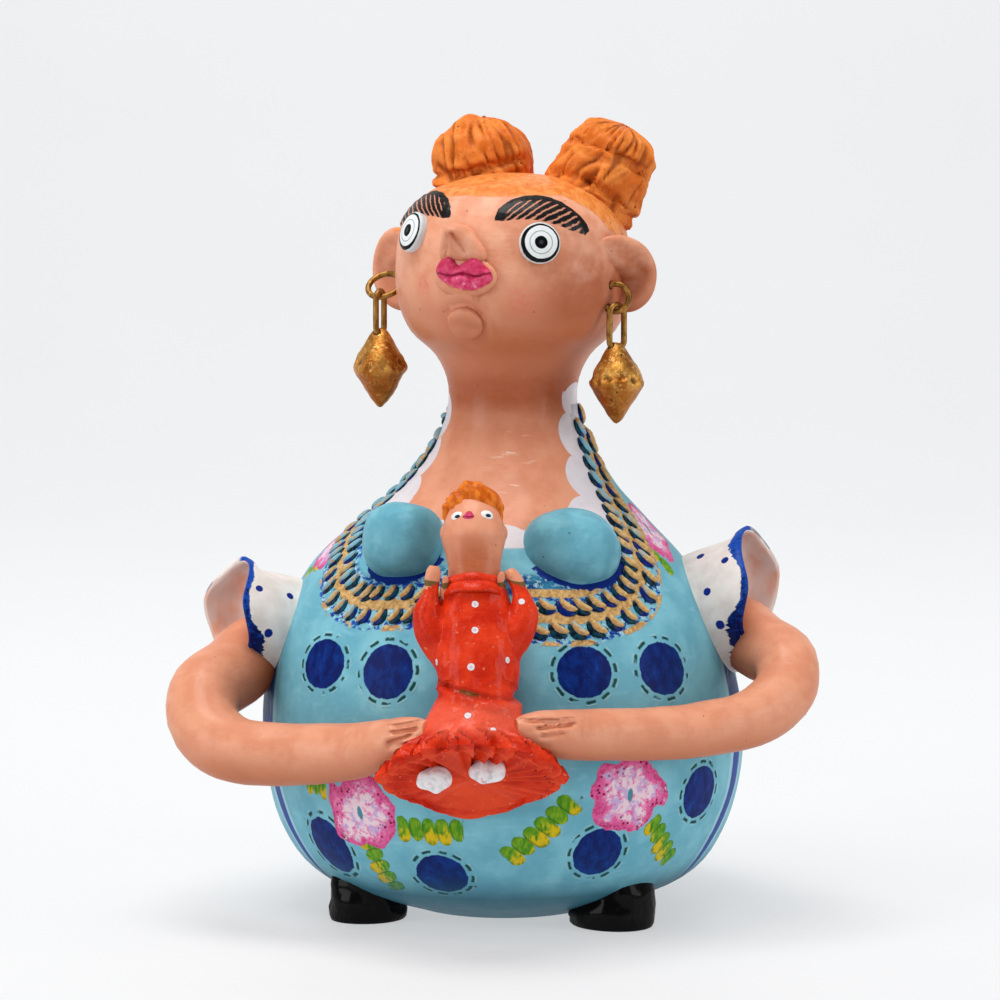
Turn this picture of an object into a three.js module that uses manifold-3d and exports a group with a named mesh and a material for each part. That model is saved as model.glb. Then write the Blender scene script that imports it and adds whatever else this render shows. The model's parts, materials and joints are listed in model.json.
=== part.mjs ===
// A hand-built ceramic figurine: a round woman in a spotted dress, her face turned aside and
// lifted, who holds a small child against her belly. Wire hoops at her ears carry clay drops.
// Millimetres, +Z up, her front towards -Y, the origin under the middle of her turned base.

import * as THREE from "three";
import { mergeVertices } from "three/addons/utils/BufferGeometryUtils.js";
import Module from "manifold-3d";

const wasm = await Module();
wasm.setup();

// Driving dimensions of the woman

const HEAD_SHIFT = 3.3; // the neck and head stand this far to the side of the base
const BELLY_SHIFT = 1.1; // and the lowest part of the globe this far
const HEAD_Z = 161; // height of the middle of the head
const HEAD_RADIUS = 29.4;
const FACE_AZIMUTH = -23.5; // degrees from the front; the face looks to the side
const BODY_SIDES = 34;
const PROFILE_STEPS = 25;
const BASE_RADIUS = 24;

// Outline of globe, shoulders, neck and head as radius and height, from the base rim to the crown
const OUTLINE = [
  [BASE_RADIUS, 0],
  [46.3, 8.3],
  [56.1, 20.5],
  [60.3, 38],
  [59.8, 54],
  [55.4, 71],
  [47, 86],
  [36, 97],
  [27, 105.5],
  [20.8, 114.5],
  [17, 123],
  [16.4, 131],
  [19.4, 138.2],
  [25.6, 144.2],
  [28.9, 152],
  [HEAD_RADIUS, HEAD_Z],
  [27.6, 170.6],
  [21, 178.6],
  [11, 182.4],
];
const CROWN_Z = 183.4;

// Wires and drops of the earrings
const WIRE_RADIUS = 0.75;
const WIRE_GAP = 0.35; // clearance round a wire where it passes through clay
const WIRE_SIDES = 5;

const deg = THREE.MathUtils.degToRad;
const vec = (x, y, z) => new THREE.Vector3(x, y, z);

// Solids, joins and cuts

// A closed solid from a geometry: shared corners merged, empty faces left out, faces pointing out
function solidOf(geometry, matrix = new THREE.Matrix4()) {
  const bare = geometry.index ? geometry.clone() : mergeVertices(geometry);
  bare.deleteAttribute("normal");
  bare.deleteAttribute("uv");
  bare.applyMatrix4(matrix);
  const merged = mergeVertices(bare, 1e-4);
  const corners = merged.attributes.position.array;
  const faces = [];
  let volume = 0;
  const [a, b, c] = [vec(), vec(), vec()];
  for (let i = 0; i < merged.index.count; i += 3) {
    const face = [0, 1, 2].map((k) => merged.index.getX(i + k));
    if (new Set(face).size < 3) continue;
    faces.push(...face);
    [a, b, c].forEach((corner, k) => corner.fromArray(corners, 3 * face[k]));
    volume += a.dot(b.cross(c));
  }
  const triVerts = new Uint32Array(volume < 0 ? faces.reverse() : faces);
  const vertProperties = new Float32Array(corners);
  return new wasm.Manifold(new wasm.Mesh({ numProp: 3, vertProperties, triVerts }));
}

const joined = (solids) => solids.reduce((whole, solid) => whole.add(solid));
const without = (solid, cutters) => cutters.reduce((rest, cutter) => rest.subtract(cutter), solid);

function geometryOf(solid) {
  const { vertProperties, triVerts } = solid.getMesh();
  const geometry = new THREE.BufferGeometry();
  geometry.setAttribute("position", new THREE.BufferAttribute(vertProperties, 3));
  geometry.setIndex(new THREE.BufferAttribute(triVerts, 1));
  return geometry;
}

// A closed body skinned over rings of equally many points, its two ends closed by fans
function skinOver(rings) {
  const sides = rings[0].length;
  const middle = (ring) => ring.reduce((sum, p) => sum.add(p), vec(0, 0, 0)).divideScalar(sides);
  const points = [...rings.flat(), middle(rings[0]), middle(rings.at(-1))];
  const [startCap, endCap] = [points.length - 2, points.length - 1];
  const lastRing = (rings.length - 1) * sides;
  const index = [];
  for (let j = 0; j < sides; j++) {
    const next = (j + 1) % sides;
    for (let i = 0; i < lastRing; i += sides) {
      index.push(i + j, i + next, i + sides + next, i + j, i + sides + next, i + sides + j);
    }
    index.push(startCap, next, j, endCap, lastRing + j, lastRing + next);
  }
  const geometry = new THREE.BufferGeometry().setFromPoints(points);
  geometry.setIndex(index);
  return geometry;
}

// Points round an ellipse; ripple(angle) moves each point in or out as a share of the radius
function ring(centre, across, up, radiusAcross, radiusUp, sides, ripple = () => 1) {
  return Array.from({ length: sides }, (_, k) => {
    const angle = (2 * Math.PI * k) / sides;
    const size = ripple(angle);
    return centre
      .clone()
      .addScaledVector(across, radiusAcross * size * Math.cos(angle))
      .addScaledVector(up, radiusUp * size * Math.sin(angle));
  });
}

// A round limb along a smooth line through points, its radius given along the line from 0 to 1
function limb(points, radiusAt, steps, sides) {
  const line = new THREE.CatmullRomCurve3(points.map((p) => vec(...p.slice(0, 3))), false, "centripetal");
  const frames = line.computeFrenetFrames(steps);
  const rings = frames.tangents.map((_, i) => {
    const radius = radiusAt(i / steps);
    return ring(line.getPointAt(i / steps), frames.normals[i], frames.binormals[i], radius, radius, sides);
  });
  return solidOf(skinOver(rings));
}

// A body turned about its own Z axis, from radius and height pairs
function turned(outline, sides, matrix) {
  const points = outline.map(([radius, height]) => new THREE.Vector2(radius, height));
  const geometry = new THREE.LatheGeometry(points, sides).rotateX(Math.PI / 2);
  return solidOf(geometry, matrix);
}

// An ellipsoid with the given half sizes
function pebble(halfSizes, matrix, sides = 14, rows = 9) {
  const geometry = new THREE.SphereGeometry(1, sides, rows).rotateX(Math.PI / 2);
  return solidOf(geometry.scale(...halfSizes), matrix);
}

// Places

// Stands at a point, its Z axis along one direction and its Y axis as near up as it can be
function placed(at, outward, tilt = 0) {
  const z = outward.clone().normalize();
  const x = vec(0, 0, 1).cross(z).normalize();
  const y = z.clone().cross(x);
  const turn = new THREE.Matrix4().makeRotationZ(deg(tilt));
  return new THREE.Matrix4().makeBasis(x, y, z).setPosition(at).multiply(turn);
}

const standing = (at, halfTurn = 0) => new THREE.Matrix4().makeRotationZ(deg(halfTurn)).setPosition(at);

// Horizontal direction at a number of degrees from the front, positive towards +X
const heading = (azimuth) => vec(Math.sin(deg(azimuth)), -Math.cos(deg(azimuth)), 0);

const outlineCurve = new THREE.SplineCurve(OUTLINE.map(([radius, z]) => new THREE.Vector2(radius, z)));
const outlinePoints = outlineCurve.getPoints(200);
const shiftAt = (z) =>
  BELLY_SHIFT * (1 - THREE.MathUtils.smoothstep(z, 30, 70)) + HEAD_SHIFT * THREE.MathUtils.smoothstep(z, 84, 118);

function radiusAt(z) {
  const above = Math.max(1, outlinePoints.findIndex((p) => p.y >= z));
  const [low, high] = [outlinePoints[above - 1], outlinePoints[above]];
  return THREE.MathUtils.mapLinear(z, low.y, high.y, low.x, high.x);
}

// A point of the woman's skin, before anything is added to it
const skinPoint = (azimuth, z) => heading(azimuth).multiplyScalar(radiusAt(z)).add(vec(shiftAt(z), 0, z));

// A place on the skin, its Z axis square to the skin
function onSkin(azimuth, z, lift = 0, tilt = 0) {
  const step = 0.5;
  const sideways = skinPoint(azimuth + step, z).sub(skinPoint(azimuth - step, z));
  const upwards = skinPoint(azimuth, z + step).sub(skinPoint(azimuth, z - step));
  const outward = sideways.cross(upwards).normalize();
  return placed(skinPoint(azimuth, z).addScaledVector(outward, lift), outward, tilt);
}

// The woman, from her turned body to her shoes and sleeves

function womanTurned() {
  const rows = outlineCurve.getPoints(PROFILE_STEPS).map((p) => [p.x, p.y]);
  const geometry = new THREE.LatheGeometry(
    [[0, 0], ...rows, [0, CROWN_Z]].map(([radius, z]) => new THREE.Vector2(radius, z)),
    BODY_SIDES,
  ).rotateX(Math.PI / 2);
  const position = geometry.attributes.position;
  for (let i = 0; i < position.count; i++) {
    position.setX(i, position.getX(i) + shiftAt(position.getZ(i)));
  }
  return solidOf(geometry);
}

// Each breast is a rounded cone that points forward and a little up
function breasts() {
  return [
    pebble([10.2, 9.9, 10.5], placed(vec(-23.2, -35, 94.8), vec(-0.35, -0.85, 0.3)), 12, 8),
    pebble([12, 9.3, 11.5], placed(vec(17, -35.4, 93.2), vec(0.3, -0.88, 0.3)), 12, 8),
  ];
}

const SHOE = { halfLength: 12.5, halfWidth: 9.6, height: 12.2 };

// Two stubby shoes look out from under the globe, steep outside and lost in it above
function shoes() {
  const outline = [[0, 0], [0.97, 0], [1, 0.35], [0.94, 0.75], [0.78, 0.95], [0, 1.02]];
  return [
    [vec(-28.6, -18.4, 0), -62],
    [vec(25.8, -25.6, 0), 36],
  ].map(([at, azimuth]) => {
    const size = new THREE.Matrix4().makeScale(SHOE.halfWidth, SHOE.halfLength, SHOE.height);
    return turned(outline, 14, standing(at, azimuth).multiply(size));
  });
}

// A cap sleeve: a short cup set on the shoulder, its rim wavy and its inside hollowed
function sleeve({ base, baseRadius, rim, rimRadius, facing, waves }) {
  const wall = 1.8;
  const depth = 8;
  const sides = 16;
  const outward = facing.clone().normalize();
  const start = vec(Math.sign(base.x), 0, 0);
  const rings = [];
  const cupRing = (share, radius, back, swell = 0) => {
    const axis = start.clone().lerp(outward, share).normalize();
    const across = vec(0, 0, 1).cross(axis).normalize();
    const up = axis.clone().cross(across);
    const centre = base.clone().lerp(rim, share).addScaledVector(axis, -back);
    const ripple = (angle) => 1 + swell * Math.cos(waves * angle);
    rings.push(ring(centre, across, up, radius, radius, sides, ripple));
  };
  cupRing(0, baseRadius * 0.8, 6);
  cupRing(0, baseRadius, 0);
  cupRing(0.55, baseRadius * 1.02, 0);
  cupRing(1, rimRadius, 0, 0.06);
  cupRing(1, rimRadius - wall, 0.2, 0.06);
  cupRing(1, baseRadius - 2 * wall, depth);
  return solidOf(skinOver(rings));
}

const RIGHT_SLEEVE = {
  base: vec(49, -5, 73.5),
  baseRadius: 14.2,
  rim: vec(63.4, -9.5, 78.4),
  rimRadius: 16.2,
  facing: vec(0.92, -0.4, -0.1),
  waves: 4,
};
const LEFT_SLEEVE = {
  base: vec(-50.5, -5, 69),
  baseRadius: 13.4,
  rim: vec(-66.8, -10.5, 73.2),
  rimRadius: 13.9,
  facing: vec(-0.89, -0.43, -0.06),
  waves: 4,
};

// Centre line and radius of each arm, from inside the shoulder round the elbow to the fingertips
const RIGHT_ARM = [
  [46, -4, 72, 8.6],
  [59.6, -8, 74, 8.8],
  [64.8, -17, 68.8, 8.3],
  [69.8, -25.5, 64.8, 7.7],
  [69.2, -34, 58.4, 7.4],
  [61.8, -42.5, 53.3, 6.9],
  [50.2, -49.5, 51.4, 6.5],
  [39.2, -54.5, 51, 6.3],
  [22.6, -61.5, 51.6, 6.1],
  [13, -66.5, 52.5, 5.8],
  [3.4, -71, 54.2, 5],
];
const LEFT_ARM = [
  [-48, -4, 70, 8.8],
  [-61, -8, 67.8, 9.1],
  [-66.6, -17, 62.2, 9.1],
  [-72.4, -27, 56.6, 8.9],
  [-71.4, -35.5, 49.5, 8.5],
  [-64.2, -43, 45.4, 8],
  [-54.4, -48.5, 45, 7.6],
  [-45.1, -51.5, 45.6, 7.2],
  [-34.8, -56, 47, 6.6],
  [-26, -64, 50, 5.9],
  [-16.2, -70, 54.2, 4.8],
];
const HAND = { length: 17, radius: 5.8 };

// The radius runs from point to point of the centre line and rounds off at the fingertips
function armRadius(points) {
  const radii = points.map((p) => p[3]);
  return (share) => {
    const place = share * (radii.length - 1);
    const before = Math.min(Math.floor(place), radii.length - 2);
    const radius = THREE.MathUtils.lerp(radii[before], radii[before + 1], place - before);
    const tip = Math.min(1, (1.015 - share) / 0.08);
    return radius * Math.sqrt(1 - (1 - tip) ** 2);
  };
}

// Three grooves part the fingers of a hand; each is a thin wedge laid along the hand
function fingerGrooves(points) {
  const [knuckle, tip] = points.slice(-2).map((p) => vec(...p.slice(0, 3)));
  const along = tip.clone().sub(knuckle).normalize();
  const face = vec(0, -0.94, 0.34);
  return [-2.2, 0, 2.2].map((side) => {
    const up = face.clone().cross(along).normalize().multiplyScalar(-1);
    const surface = HAND.radius - 0.4 - 0.06 * side * side;
    const at = knuckle.clone().lerp(tip, 0.4).addScaledVector(face, surface).addScaledVector(up, side);
    const groove = new THREE.CylinderGeometry(0.5, 0.5, HAND.length * 0.6, 4).rotateZ(Math.PI / 2);
    const basis = new THREE.Matrix4().makeBasis(along, up, along.clone().cross(up)).setPosition(at);
    return solidOf(groove, basis);
  });
}

const arms = () =>
  [RIGHT_ARM, LEFT_ARM].map((points) => without(limb(points, armRadius(points), 18, 9), fingerGrooves(points)));

// Head

// A round bun of coiled locks: flutes run round it with a twist, and a small knob tops it
function bun({ at, axis, radius, flutes, twist }) {
  const sides = 3 * flutes;
  const outline = [
    [0.68, -0.95],
    [0.94, -0.5],
    [1, -0.1],
    [0.86, 0.32],
    [0.62, 0.5],
    [0.56, 0.72],
    [0.34, 0.9],
  ];
  const up = axis.clone().normalize();
  const across = vec(0, 1, 0).cross(up).normalize();
  const depth = up.clone().cross(across);
  const rings = outline.map(([size, height]) => {
    const ripple = (angle) => 1 + 0.055 * Math.cos(flutes * (angle + twist * height));
    const centre = at.clone().addScaledVector(up, height * radius);
    return ring(centre, across, depth, size * radius, size * radius, sides, ripple);
  });
  return solidOf(skinOver(rings));
}

const LEFT_BUN = { at: vec(-4.4, 13, 186.6), axis: vec(0.02, 0.08, 1), radius: 12.7, flutes: 8, twist: 0.5 };
const RIGHT_BUN = { at: vec(26.2, 2, 184.8), axis: vec(0.42, -0.05, 0.9), radius: 13.4, flutes: 8, twist: -0.5 };

const EAR = { out: 8.2, high: 10.6, thick: 2.6, set: 30.6 };

// An ear is a thick upright disc that stands out from the head, its front dished
function ear(side, z) {
  const azimuth = FACE_AZIMUTH + 90 * side;
  const at = heading(azimuth).multiplyScalar(EAR.set).add(vec(HEAD_SHIFT, 0, z));
  const front = placed(at, heading(FACE_AZIMUTH));
  const disc = pebble([EAR.out, EAR.high, EAR.thick], front, 14, 6);
  const hollow = pebble([EAR.out * 0.72, EAR.high * 0.74, EAR.thick * 0.9], front.clone().multiply(
    new THREE.Matrix4().makeTranslation(side * 0.6, 0.3, EAR.thick * 0.95),
  ), 10, 5);
  return disc.subtract(hollow);
}

const EYE = { radius: 5.1, dome: 2.3, spread: 36, rightZ: 166.4, leftZ: 168.6 };

const eyes = () => [
  pebble([EYE.radius, EYE.radius, EYE.dome], onSkin(FACE_AZIMUTH + EYE.spread, EYE.rightZ, 0.4), 14, 6),
  pebble([EYE.radius, EYE.radius, EYE.dome], onSkin(FACE_AZIMUTH - EYE.spread, EYE.leftZ, 0.4), 14, 6),
];

// The nose is a blunt wedge with its tip high, seen from below, and a wing on each side
function nose() {
  const wedge = pebble([4.4, 4.6, 7.4], onSkin(FACE_AZIMUTH, 166.6, 0), 10, 7);
  const wing = (side) => pebble([2.8, 3, 3.4], onSkin(FACE_AZIMUTH + 8 * side, 163.8, 0.6), 8, 5);
  return joined([wedge, wing(-1), wing(1)]);
}

// Full lips: two lobes above with a dip between them, one long lobe below
function lips() {
  const lobe = (turn, z, halfSizes, tilt) => pebble(halfSizes, onSkin(FACE_AZIMUTH + turn, z, 0.5, tilt), 10, 5);
  return [
    lobe(-6, 160, [4.1, 1.9, 2.2], 12),
    lobe(6, 160, [4.1, 1.9, 2.2], -12),
    lobe(0, 157.2, [5.6, 1.8, 2.2], 0),
  ];
}

const chin = () => pebble([5, 4.9, 3.2], onSkin(FACE_AZIMUTH, 147, 0.3), 12, 6);

// The neckline band: two rows of small raised crescents that run down the shoulders and under the breasts

const BAND = { frontZ: 75.5, napeZ: 120.5, turnStart: 33, turnEnd: 94, rowSpread: 3, crescents: 14 };

// Height of the middle of the band at an azimuth from the front
function bandZ(azimuth) {
  const rise = THREE.MathUtils.smoothstep(Math.abs(azimuth), BAND.turnStart, BAND.turnEnd);
  return THREE.MathUtils.lerp(BAND.frontZ, BAND.napeZ, rise);
}

// Stations along the band, evenly spaced over the dress
function bandStations(count) {
  const fine = Array.from({ length: 721 }, (_, i) => {
    const azimuth = -180 + i / 2;
    return { azimuth, at: vec().setFromMatrixPosition(onSkin(azimuth, bandZ(azimuth))) };
  });
  const lengths = [0];
  fine.slice(1).forEach((p, i) => lengths.push(lengths[i] + p.at.distanceTo(fine[i].at)));
  return Array.from({ length: count }, (_, k) => {
    const wanted = (lengths.at(-1) * (k + 0.5)) / count;
    return fine[lengths.findIndex((l) => l >= wanted)];
  });
}

function crescents() {
  const stations = bandStations(2 * BAND.crescents);
  return stations.flatMap(({ azimuth, at }, k) => {
    const next = stations[(k + 1) % stations.length].at;
    const along = next.clone().sub(at).normalize();
    const outward = vec().setFromMatrixColumn(onSkin(azimuth, bandZ(azimuth)), 2);
    const across = outward.clone().cross(along).normalize();
    return [-1, 1].map((row) => {
      const slant = along.clone().multiplyScalar(0.75).addScaledVector(across, row * 0.66).normalize();
      const y = outward.clone().cross(slant).normalize();
      const middle = at.clone().addScaledVector(across, row * BAND.rowSpread);
      const radial = vec(middle.x - shiftAt(middle.z), middle.y, 0);
      const drop = radiusAt(middle.z) - radial.length();
      middle.addScaledVector(radial.normalize(), drop + 0.05);
      const basis = new THREE.Matrix4().makeBasis(slant, y, slant.clone().cross(y)).setPosition(middle);
      return solidOf(new THREE.OctahedronGeometry(1).scale(3.9, 1.7, 1.2), basis);
    });
  });
}

// The child, leaning back on the belly with a flared skirt, raised arms and lifted face

// Cross-sections of skirt and bodice: centre, half width, half depth and backward lean in degrees
const CHILD_SECTIONS = [
  { at: [-6.7, -71.9, 42.4], across: 17.8, deep: 13.4, lean: 39 },
  { at: [-6.7, -72.6, 41.6], across: 20.6, deep: 15.8, lean: 39, pleats: 0.01 },
  { at: [-6.7, -72.8, 43.2], across: 21.2, deep: 16.2, lean: 38, pleats: 0.035 },
  { at: [-6.5, -70.6, 49.5], across: 15.8, deep: 11.8, lean: 35, pleats: 0.02 },
  { at: [-5.6, -68, 57], across: 10.8, deep: 9.2, lean: 30 },
  { at: [-5.2, -66, 63], across: 8.7, deep: 7.6, lean: 28 },
  { at: [-5.2, -65.8, 63.6], across: 9.3, deep: 8.2, lean: 28 },
  { at: [-5.4, -62.8, 71], across: 10.2, deep: 8.4, lean: 26 },
  { at: [-5.8, -59.4, 79.5], across: 10.4, deep: 7.9, lean: 26 },
  { at: [-6, -57.8, 84.6], across: 9, deep: 7, lean: 26 },
  { at: [-6, -57.2, 86.8], across: 6.8, deep: 6.2, lean: 26 },
];
const PLEATS = 12;

function childDress() {
  const sides = 2 * PLEATS;
  const rings = CHILD_SECTIONS.map(({ at, across, deep, lean, pleats = 0 }) => {
    const back = vec(0, Math.cos(deg(lean)), -Math.sin(deg(lean)));
    const corner = (angle) => (Math.sin(angle) > 0 ? 0.16 : 0.03) * Math.sin(2 * angle) ** 2;
    const ripple = (angle) => (pleats ? (1 + pleats * Math.cos(PLEATS * angle)) * (1 - corner(angle)) : 1);
    return ring(vec(...at), vec(1, 0, 0), back, across, deep, sides, ripple);
  });
  return solidOf(skinOver(rings));
}

const CHILD_HEAD_LINE = [
  [-6, -57.5, 84],
  [-6, -55.6, 90],
  [-6.2, -53, 96.5],
  [-6.3, -50.6, 102.5],
  [-6.3, -49, 107.6],
];

function childHeadRadius(share) {
  const jaw = 6.2 + 0.95 * Math.sin(Math.PI * THREE.MathUtils.clamp(share * 1.25 - 0.25, 0, 1));
  const top = Math.min(1, (1.02 - share) / 0.3);
  return jaw * Math.sqrt(1 - (1 - top) ** 2);
}

function childHead() {
  const head = limb(CHILD_HEAD_LINE, childHeadRadius, 9, 10);
  const hair = pebble([7.3, 6.6, 5.8], placed(vec(-6, -46.6, 103.6), vec(0.12, 0.6, 0.8)), 12, 6);
  const fringe = pebble([5.6, 3.6, 2.2], placed(vec(-3.6, -51.6, 107), vec(0.3, -0.55, 0.8), -28), 8, 5);
  const mouth = pebble([1.6, 1.1, 1.4], placed(vec(-7.2, -57.4, 101.8), vec(-0.05, -0.9, 0.42)), 7, 5);
  const earLobe = (side) => pebble([1.3, 2, 2.2], standing(vec(-6.2 + 7.1 * side, -52.2, 98)), 7, 5);
  return [head, hair, fringe, mouth, earLobe(-1), earLobe(1)];
}

const CHILD_ARMS = [
  [[-12, -60.5, 70], [-16.2, -61, 74.5], [-17.6, -61.4, 79.5], [-16.4, -61.6, 85.5], [-15.4, -61.2, 91.6]],
  [[1, -61, 71], [5.2, -61.4, 76], [7, -61.6, 80.6], [5.2, -60.8, 86.2], [2.2, -59.6, 90.6]],
];
const CHILD_ARM_RADIUS = 3.6;

function childArms() {
  const radius = (share) => {
    const tip = Math.min(1, (1.02 - share) / 0.12);
    return (CHILD_ARM_RADIUS - 1.1 * share) * Math.sqrt(1 - (1 - tip) ** 2);
  };
  return CHILD_ARMS.map((points) => limb(points, radius, 9, 7));
}

// Small white shoes poke out of the skirt's underside
const childShoes = () =>
  [vec(-15.4, -77.8, 44.4), vec(-3, -78.6, 46)].map((at) =>
    pebble([4.5, 2.9, 3.4], placed(at, vec(0, -0.62, -0.78)), 10, 6),
  );

// The wires through the ears

const HOOPS = {
  right: { at: vec(28.4, -17.6, 152.9), radius: 3.4, facing: heading(-24) },
  left: { at: vec(-29, 3.6, 155.2), radius: 4.2, facing: vec(-0.25, -0.62, 0.74) },
};

// A wire ring; a wider wall gives the tunnel that it passes through
function hoop({ at, radius, facing }, wireRadius = WIRE_RADIUS) {
  const geometry = new THREE.TorusGeometry(radius, wireRadius, WIRE_SIDES, 16);
  return solidOf(geometry, placed(at, facing));
}

const LINK = { halfWidth: 2.3, length: 11 };

const DROPS = {
  right: { top: vec(28.6, -17.9, 151.2), facing: heading(38) },
  left: { top: vec(-30, 0.6, 153.9), facing: heading(66) },
};

// A long loop of wire that hangs by its upper bend and is bedded in the drop below
function link({ top, facing }, wireRadius = WIRE_RADIUS) {
  const { halfWidth, length } = LINK;
  const outline = new THREE.CurvePath();
  const bend = (from, to, z) =>
    new THREE.CatmullRomCurve3(
      Array.from({ length: 5 }, (_, k) => {
        const angle = THREE.MathUtils.lerp(from, to, k / 4);
        return vec(halfWidth * Math.cos(angle), z + halfWidth * Math.sin(angle), 0);
      }),
    );
  outline.add(bend(0, Math.PI, -halfWidth));
  outline.add(new THREE.LineCurve3(vec(-halfWidth, -halfWidth, 0), vec(-halfWidth, halfWidth - length, 0)));
  outline.add(bend(Math.PI, 2 * Math.PI, halfWidth - length));
  outline.add(new THREE.LineCurve3(vec(halfWidth, halfWidth - length, 0), vec(halfWidth, -halfWidth, 0)));
  const line = new THREE.CatmullRomCurve3(outline.getSpacedPoints(18).slice(0, -1), true);
  const steps = 16;
  const rings = Array.from({ length: steps }, (_, i) => {
    const tangent = line.getTangentAt(i / steps);
    const side = vec(0, 0, 1).cross(tangent).normalize();
    return ring(line.getPointAt(i / steps), side, vec(0, 0, 1), wireRadius, wireRadius, WIRE_SIDES);
  });
  return solidOf(closedLoop(rings), placed(top, facing));
}

// A ring-shaped body skinned over rings that come back to the first one
function closedLoop(rings) {
  const sides = rings[0].length;
  const count = rings.length * sides;
  const index = [];
  for (let i = 0; i < count; i += sides) {
    for (let j = 0; j < sides; j++) {
      const next = (j + 1) % sides;
      const after = (i + sides) % count;
      index.push(i + j, i + next, after + next, i + j, after + next, after + j);
    }
  }
  const geometry = new THREE.BufferGeometry().setFromPoints(rings.flat());
  geometry.setIndex(index);
  return geometry;
}

const DROP_OUTLINE = [
  [0, 0],
  [2.8, -0.3],
  [3.4, -2.4],
  [4.7, -5.2],
  [6.5, -8.2],
  [7, -9.8],
  [6.4, -11.4],
  [4.6, -14.6],
  [2.6, -18],
  [1.2, -19.6],
  [0, -20],
];
const DROP_TOP = 9.2; // below the link's upper bend

// A clay drop shaped as two cones base to base, with a socket for the wire
function drop(place) {
  const top = place.top.clone().add(vec(0, 0, -DROP_TOP));
  const clay = turned([...DROP_OUTLINE].reverse(), 11, standing(top));
  return clay.subtract(link(place, WIRE_RADIUS + WIRE_GAP));
}

// The whole figurine

function figurine() {
  const clay = joined([
    womanTurned(),
    ...breasts(),
    ...shoes(),
    sleeve(RIGHT_SLEEVE),
    sleeve(LEFT_SLEEVE),
    ...crescents(),
    childDress(),
    ...childHead(),
    ...childArms(),
    ...childShoes(),
    ...arms(),
    bun(LEFT_BUN),
    bun(RIGHT_BUN),
    ear(-1, 159.1),
    ear(1, 157.8),
    ...eyes(),
    nose(),
    ...lips(),
    chin(),
  ]);
  const ground = solidOf(new THREE.BoxGeometry(300, 300, 60), standing(vec(0, 0, -30)));
  const tunnels = Object.values(HOOPS).map((wire) => hoop(wire, WIRE_RADIUS + WIRE_GAP));
  return without(clay, [ground, ...tunnels]);
}

const PAINTED_CLAY = new THREE.MeshStandardMaterial({ color: 0x7cbccc, roughness: 0.42, metalness: 0 });
const GOLD_WIRE = new THREE.MeshStandardMaterial({ color: 0xa8823c, roughness: 0.38, metalness: 0.85 });
const GOLD_CLAY = new THREE.MeshStandardMaterial({ color: 0xb5822f, roughness: 0.42, metalness: 0.7 });

const model = new THREE.Group();

function addPiece(name, solid, material) {
  const mesh = new THREE.Mesh(geometryOf(solid), material);
  mesh.name = name;
  model.add(mesh);
}

addPiece("figurine", figurine(), PAINTED_CLAY);
for (const side of ["right", "left"]) {
  addPiece(`${side}_ear_hoop`, hoop(HOOPS[side]), GOLD_WIRE);
  addPiece(`${side}_ear_link`, link(DROPS[side]), GOLD_WIRE);
  addPiece(`${side}_ear_drop`, drop(DROPS[side]), GOLD_CLAY);
}

export default model;
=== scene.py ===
import json
import math
import random

import bmesh
import bpy
import numpy as np
from mathutils import Matrix, Vector, noise

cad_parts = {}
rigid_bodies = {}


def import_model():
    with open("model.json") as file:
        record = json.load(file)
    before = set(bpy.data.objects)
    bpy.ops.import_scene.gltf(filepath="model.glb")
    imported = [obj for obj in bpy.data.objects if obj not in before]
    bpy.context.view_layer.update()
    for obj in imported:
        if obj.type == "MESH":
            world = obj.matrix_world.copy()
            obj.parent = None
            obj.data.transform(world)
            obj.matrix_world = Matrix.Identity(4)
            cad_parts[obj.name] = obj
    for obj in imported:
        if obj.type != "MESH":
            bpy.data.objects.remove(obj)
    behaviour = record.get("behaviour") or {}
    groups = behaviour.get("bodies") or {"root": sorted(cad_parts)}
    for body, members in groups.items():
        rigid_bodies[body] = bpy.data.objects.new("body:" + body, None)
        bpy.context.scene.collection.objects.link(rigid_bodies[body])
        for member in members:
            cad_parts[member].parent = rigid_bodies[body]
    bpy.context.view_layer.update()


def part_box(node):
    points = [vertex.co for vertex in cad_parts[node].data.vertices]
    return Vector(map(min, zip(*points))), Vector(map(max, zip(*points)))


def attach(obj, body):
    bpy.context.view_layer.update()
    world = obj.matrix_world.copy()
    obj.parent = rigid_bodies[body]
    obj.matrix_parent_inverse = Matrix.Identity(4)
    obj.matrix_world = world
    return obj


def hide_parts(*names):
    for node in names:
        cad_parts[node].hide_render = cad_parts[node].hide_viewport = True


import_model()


# A hand-built, painted clay woman who holds a small child. Everything is modelled in millimetres
# in the part's own places and brought to metres once it is finished.

MM = 0.001
FAR = 30.0
CHANCE = random.Random(7)


# Measures shared with the part

HEAD_SHIFT = 3.3
BELLY_SHIFT = 1.1
FACE_AZIMUTH = -23.5
CROWN_Z = 183.4
OUTLINE = [
    (24, 0), (46.3, 8.3), (56.1, 20.5), (60.3, 38), (59.8, 54), (55.4, 71), (47, 86), (36, 97),
    (27, 105.5), (20.8, 114.5), (17, 123), (16.4, 131), (19.4, 138.2), (25.6, 144.2), (28.9, 152),
    (29.4, 161), (27.6, 170.6), (21, 178.6), (11, 182.4),
]
WIRE_RADIUS = 0.75


# Lines, directions and places

UP = Vector((0, 0, 1))
ACROSS = Vector((1, 0, 0))


def rise(value, low, high):
    """A soft step from 0 to 1."""
    share = np.clip((np.asarray(value, float) - low) / (high - low), 0, 1)
    return share * share * (3 - 2 * share)


def bell(away, width):
    """1 in the middle and softly 0 beyond about two widths."""
    return np.exp(-(away / width) ** 2)


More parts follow.
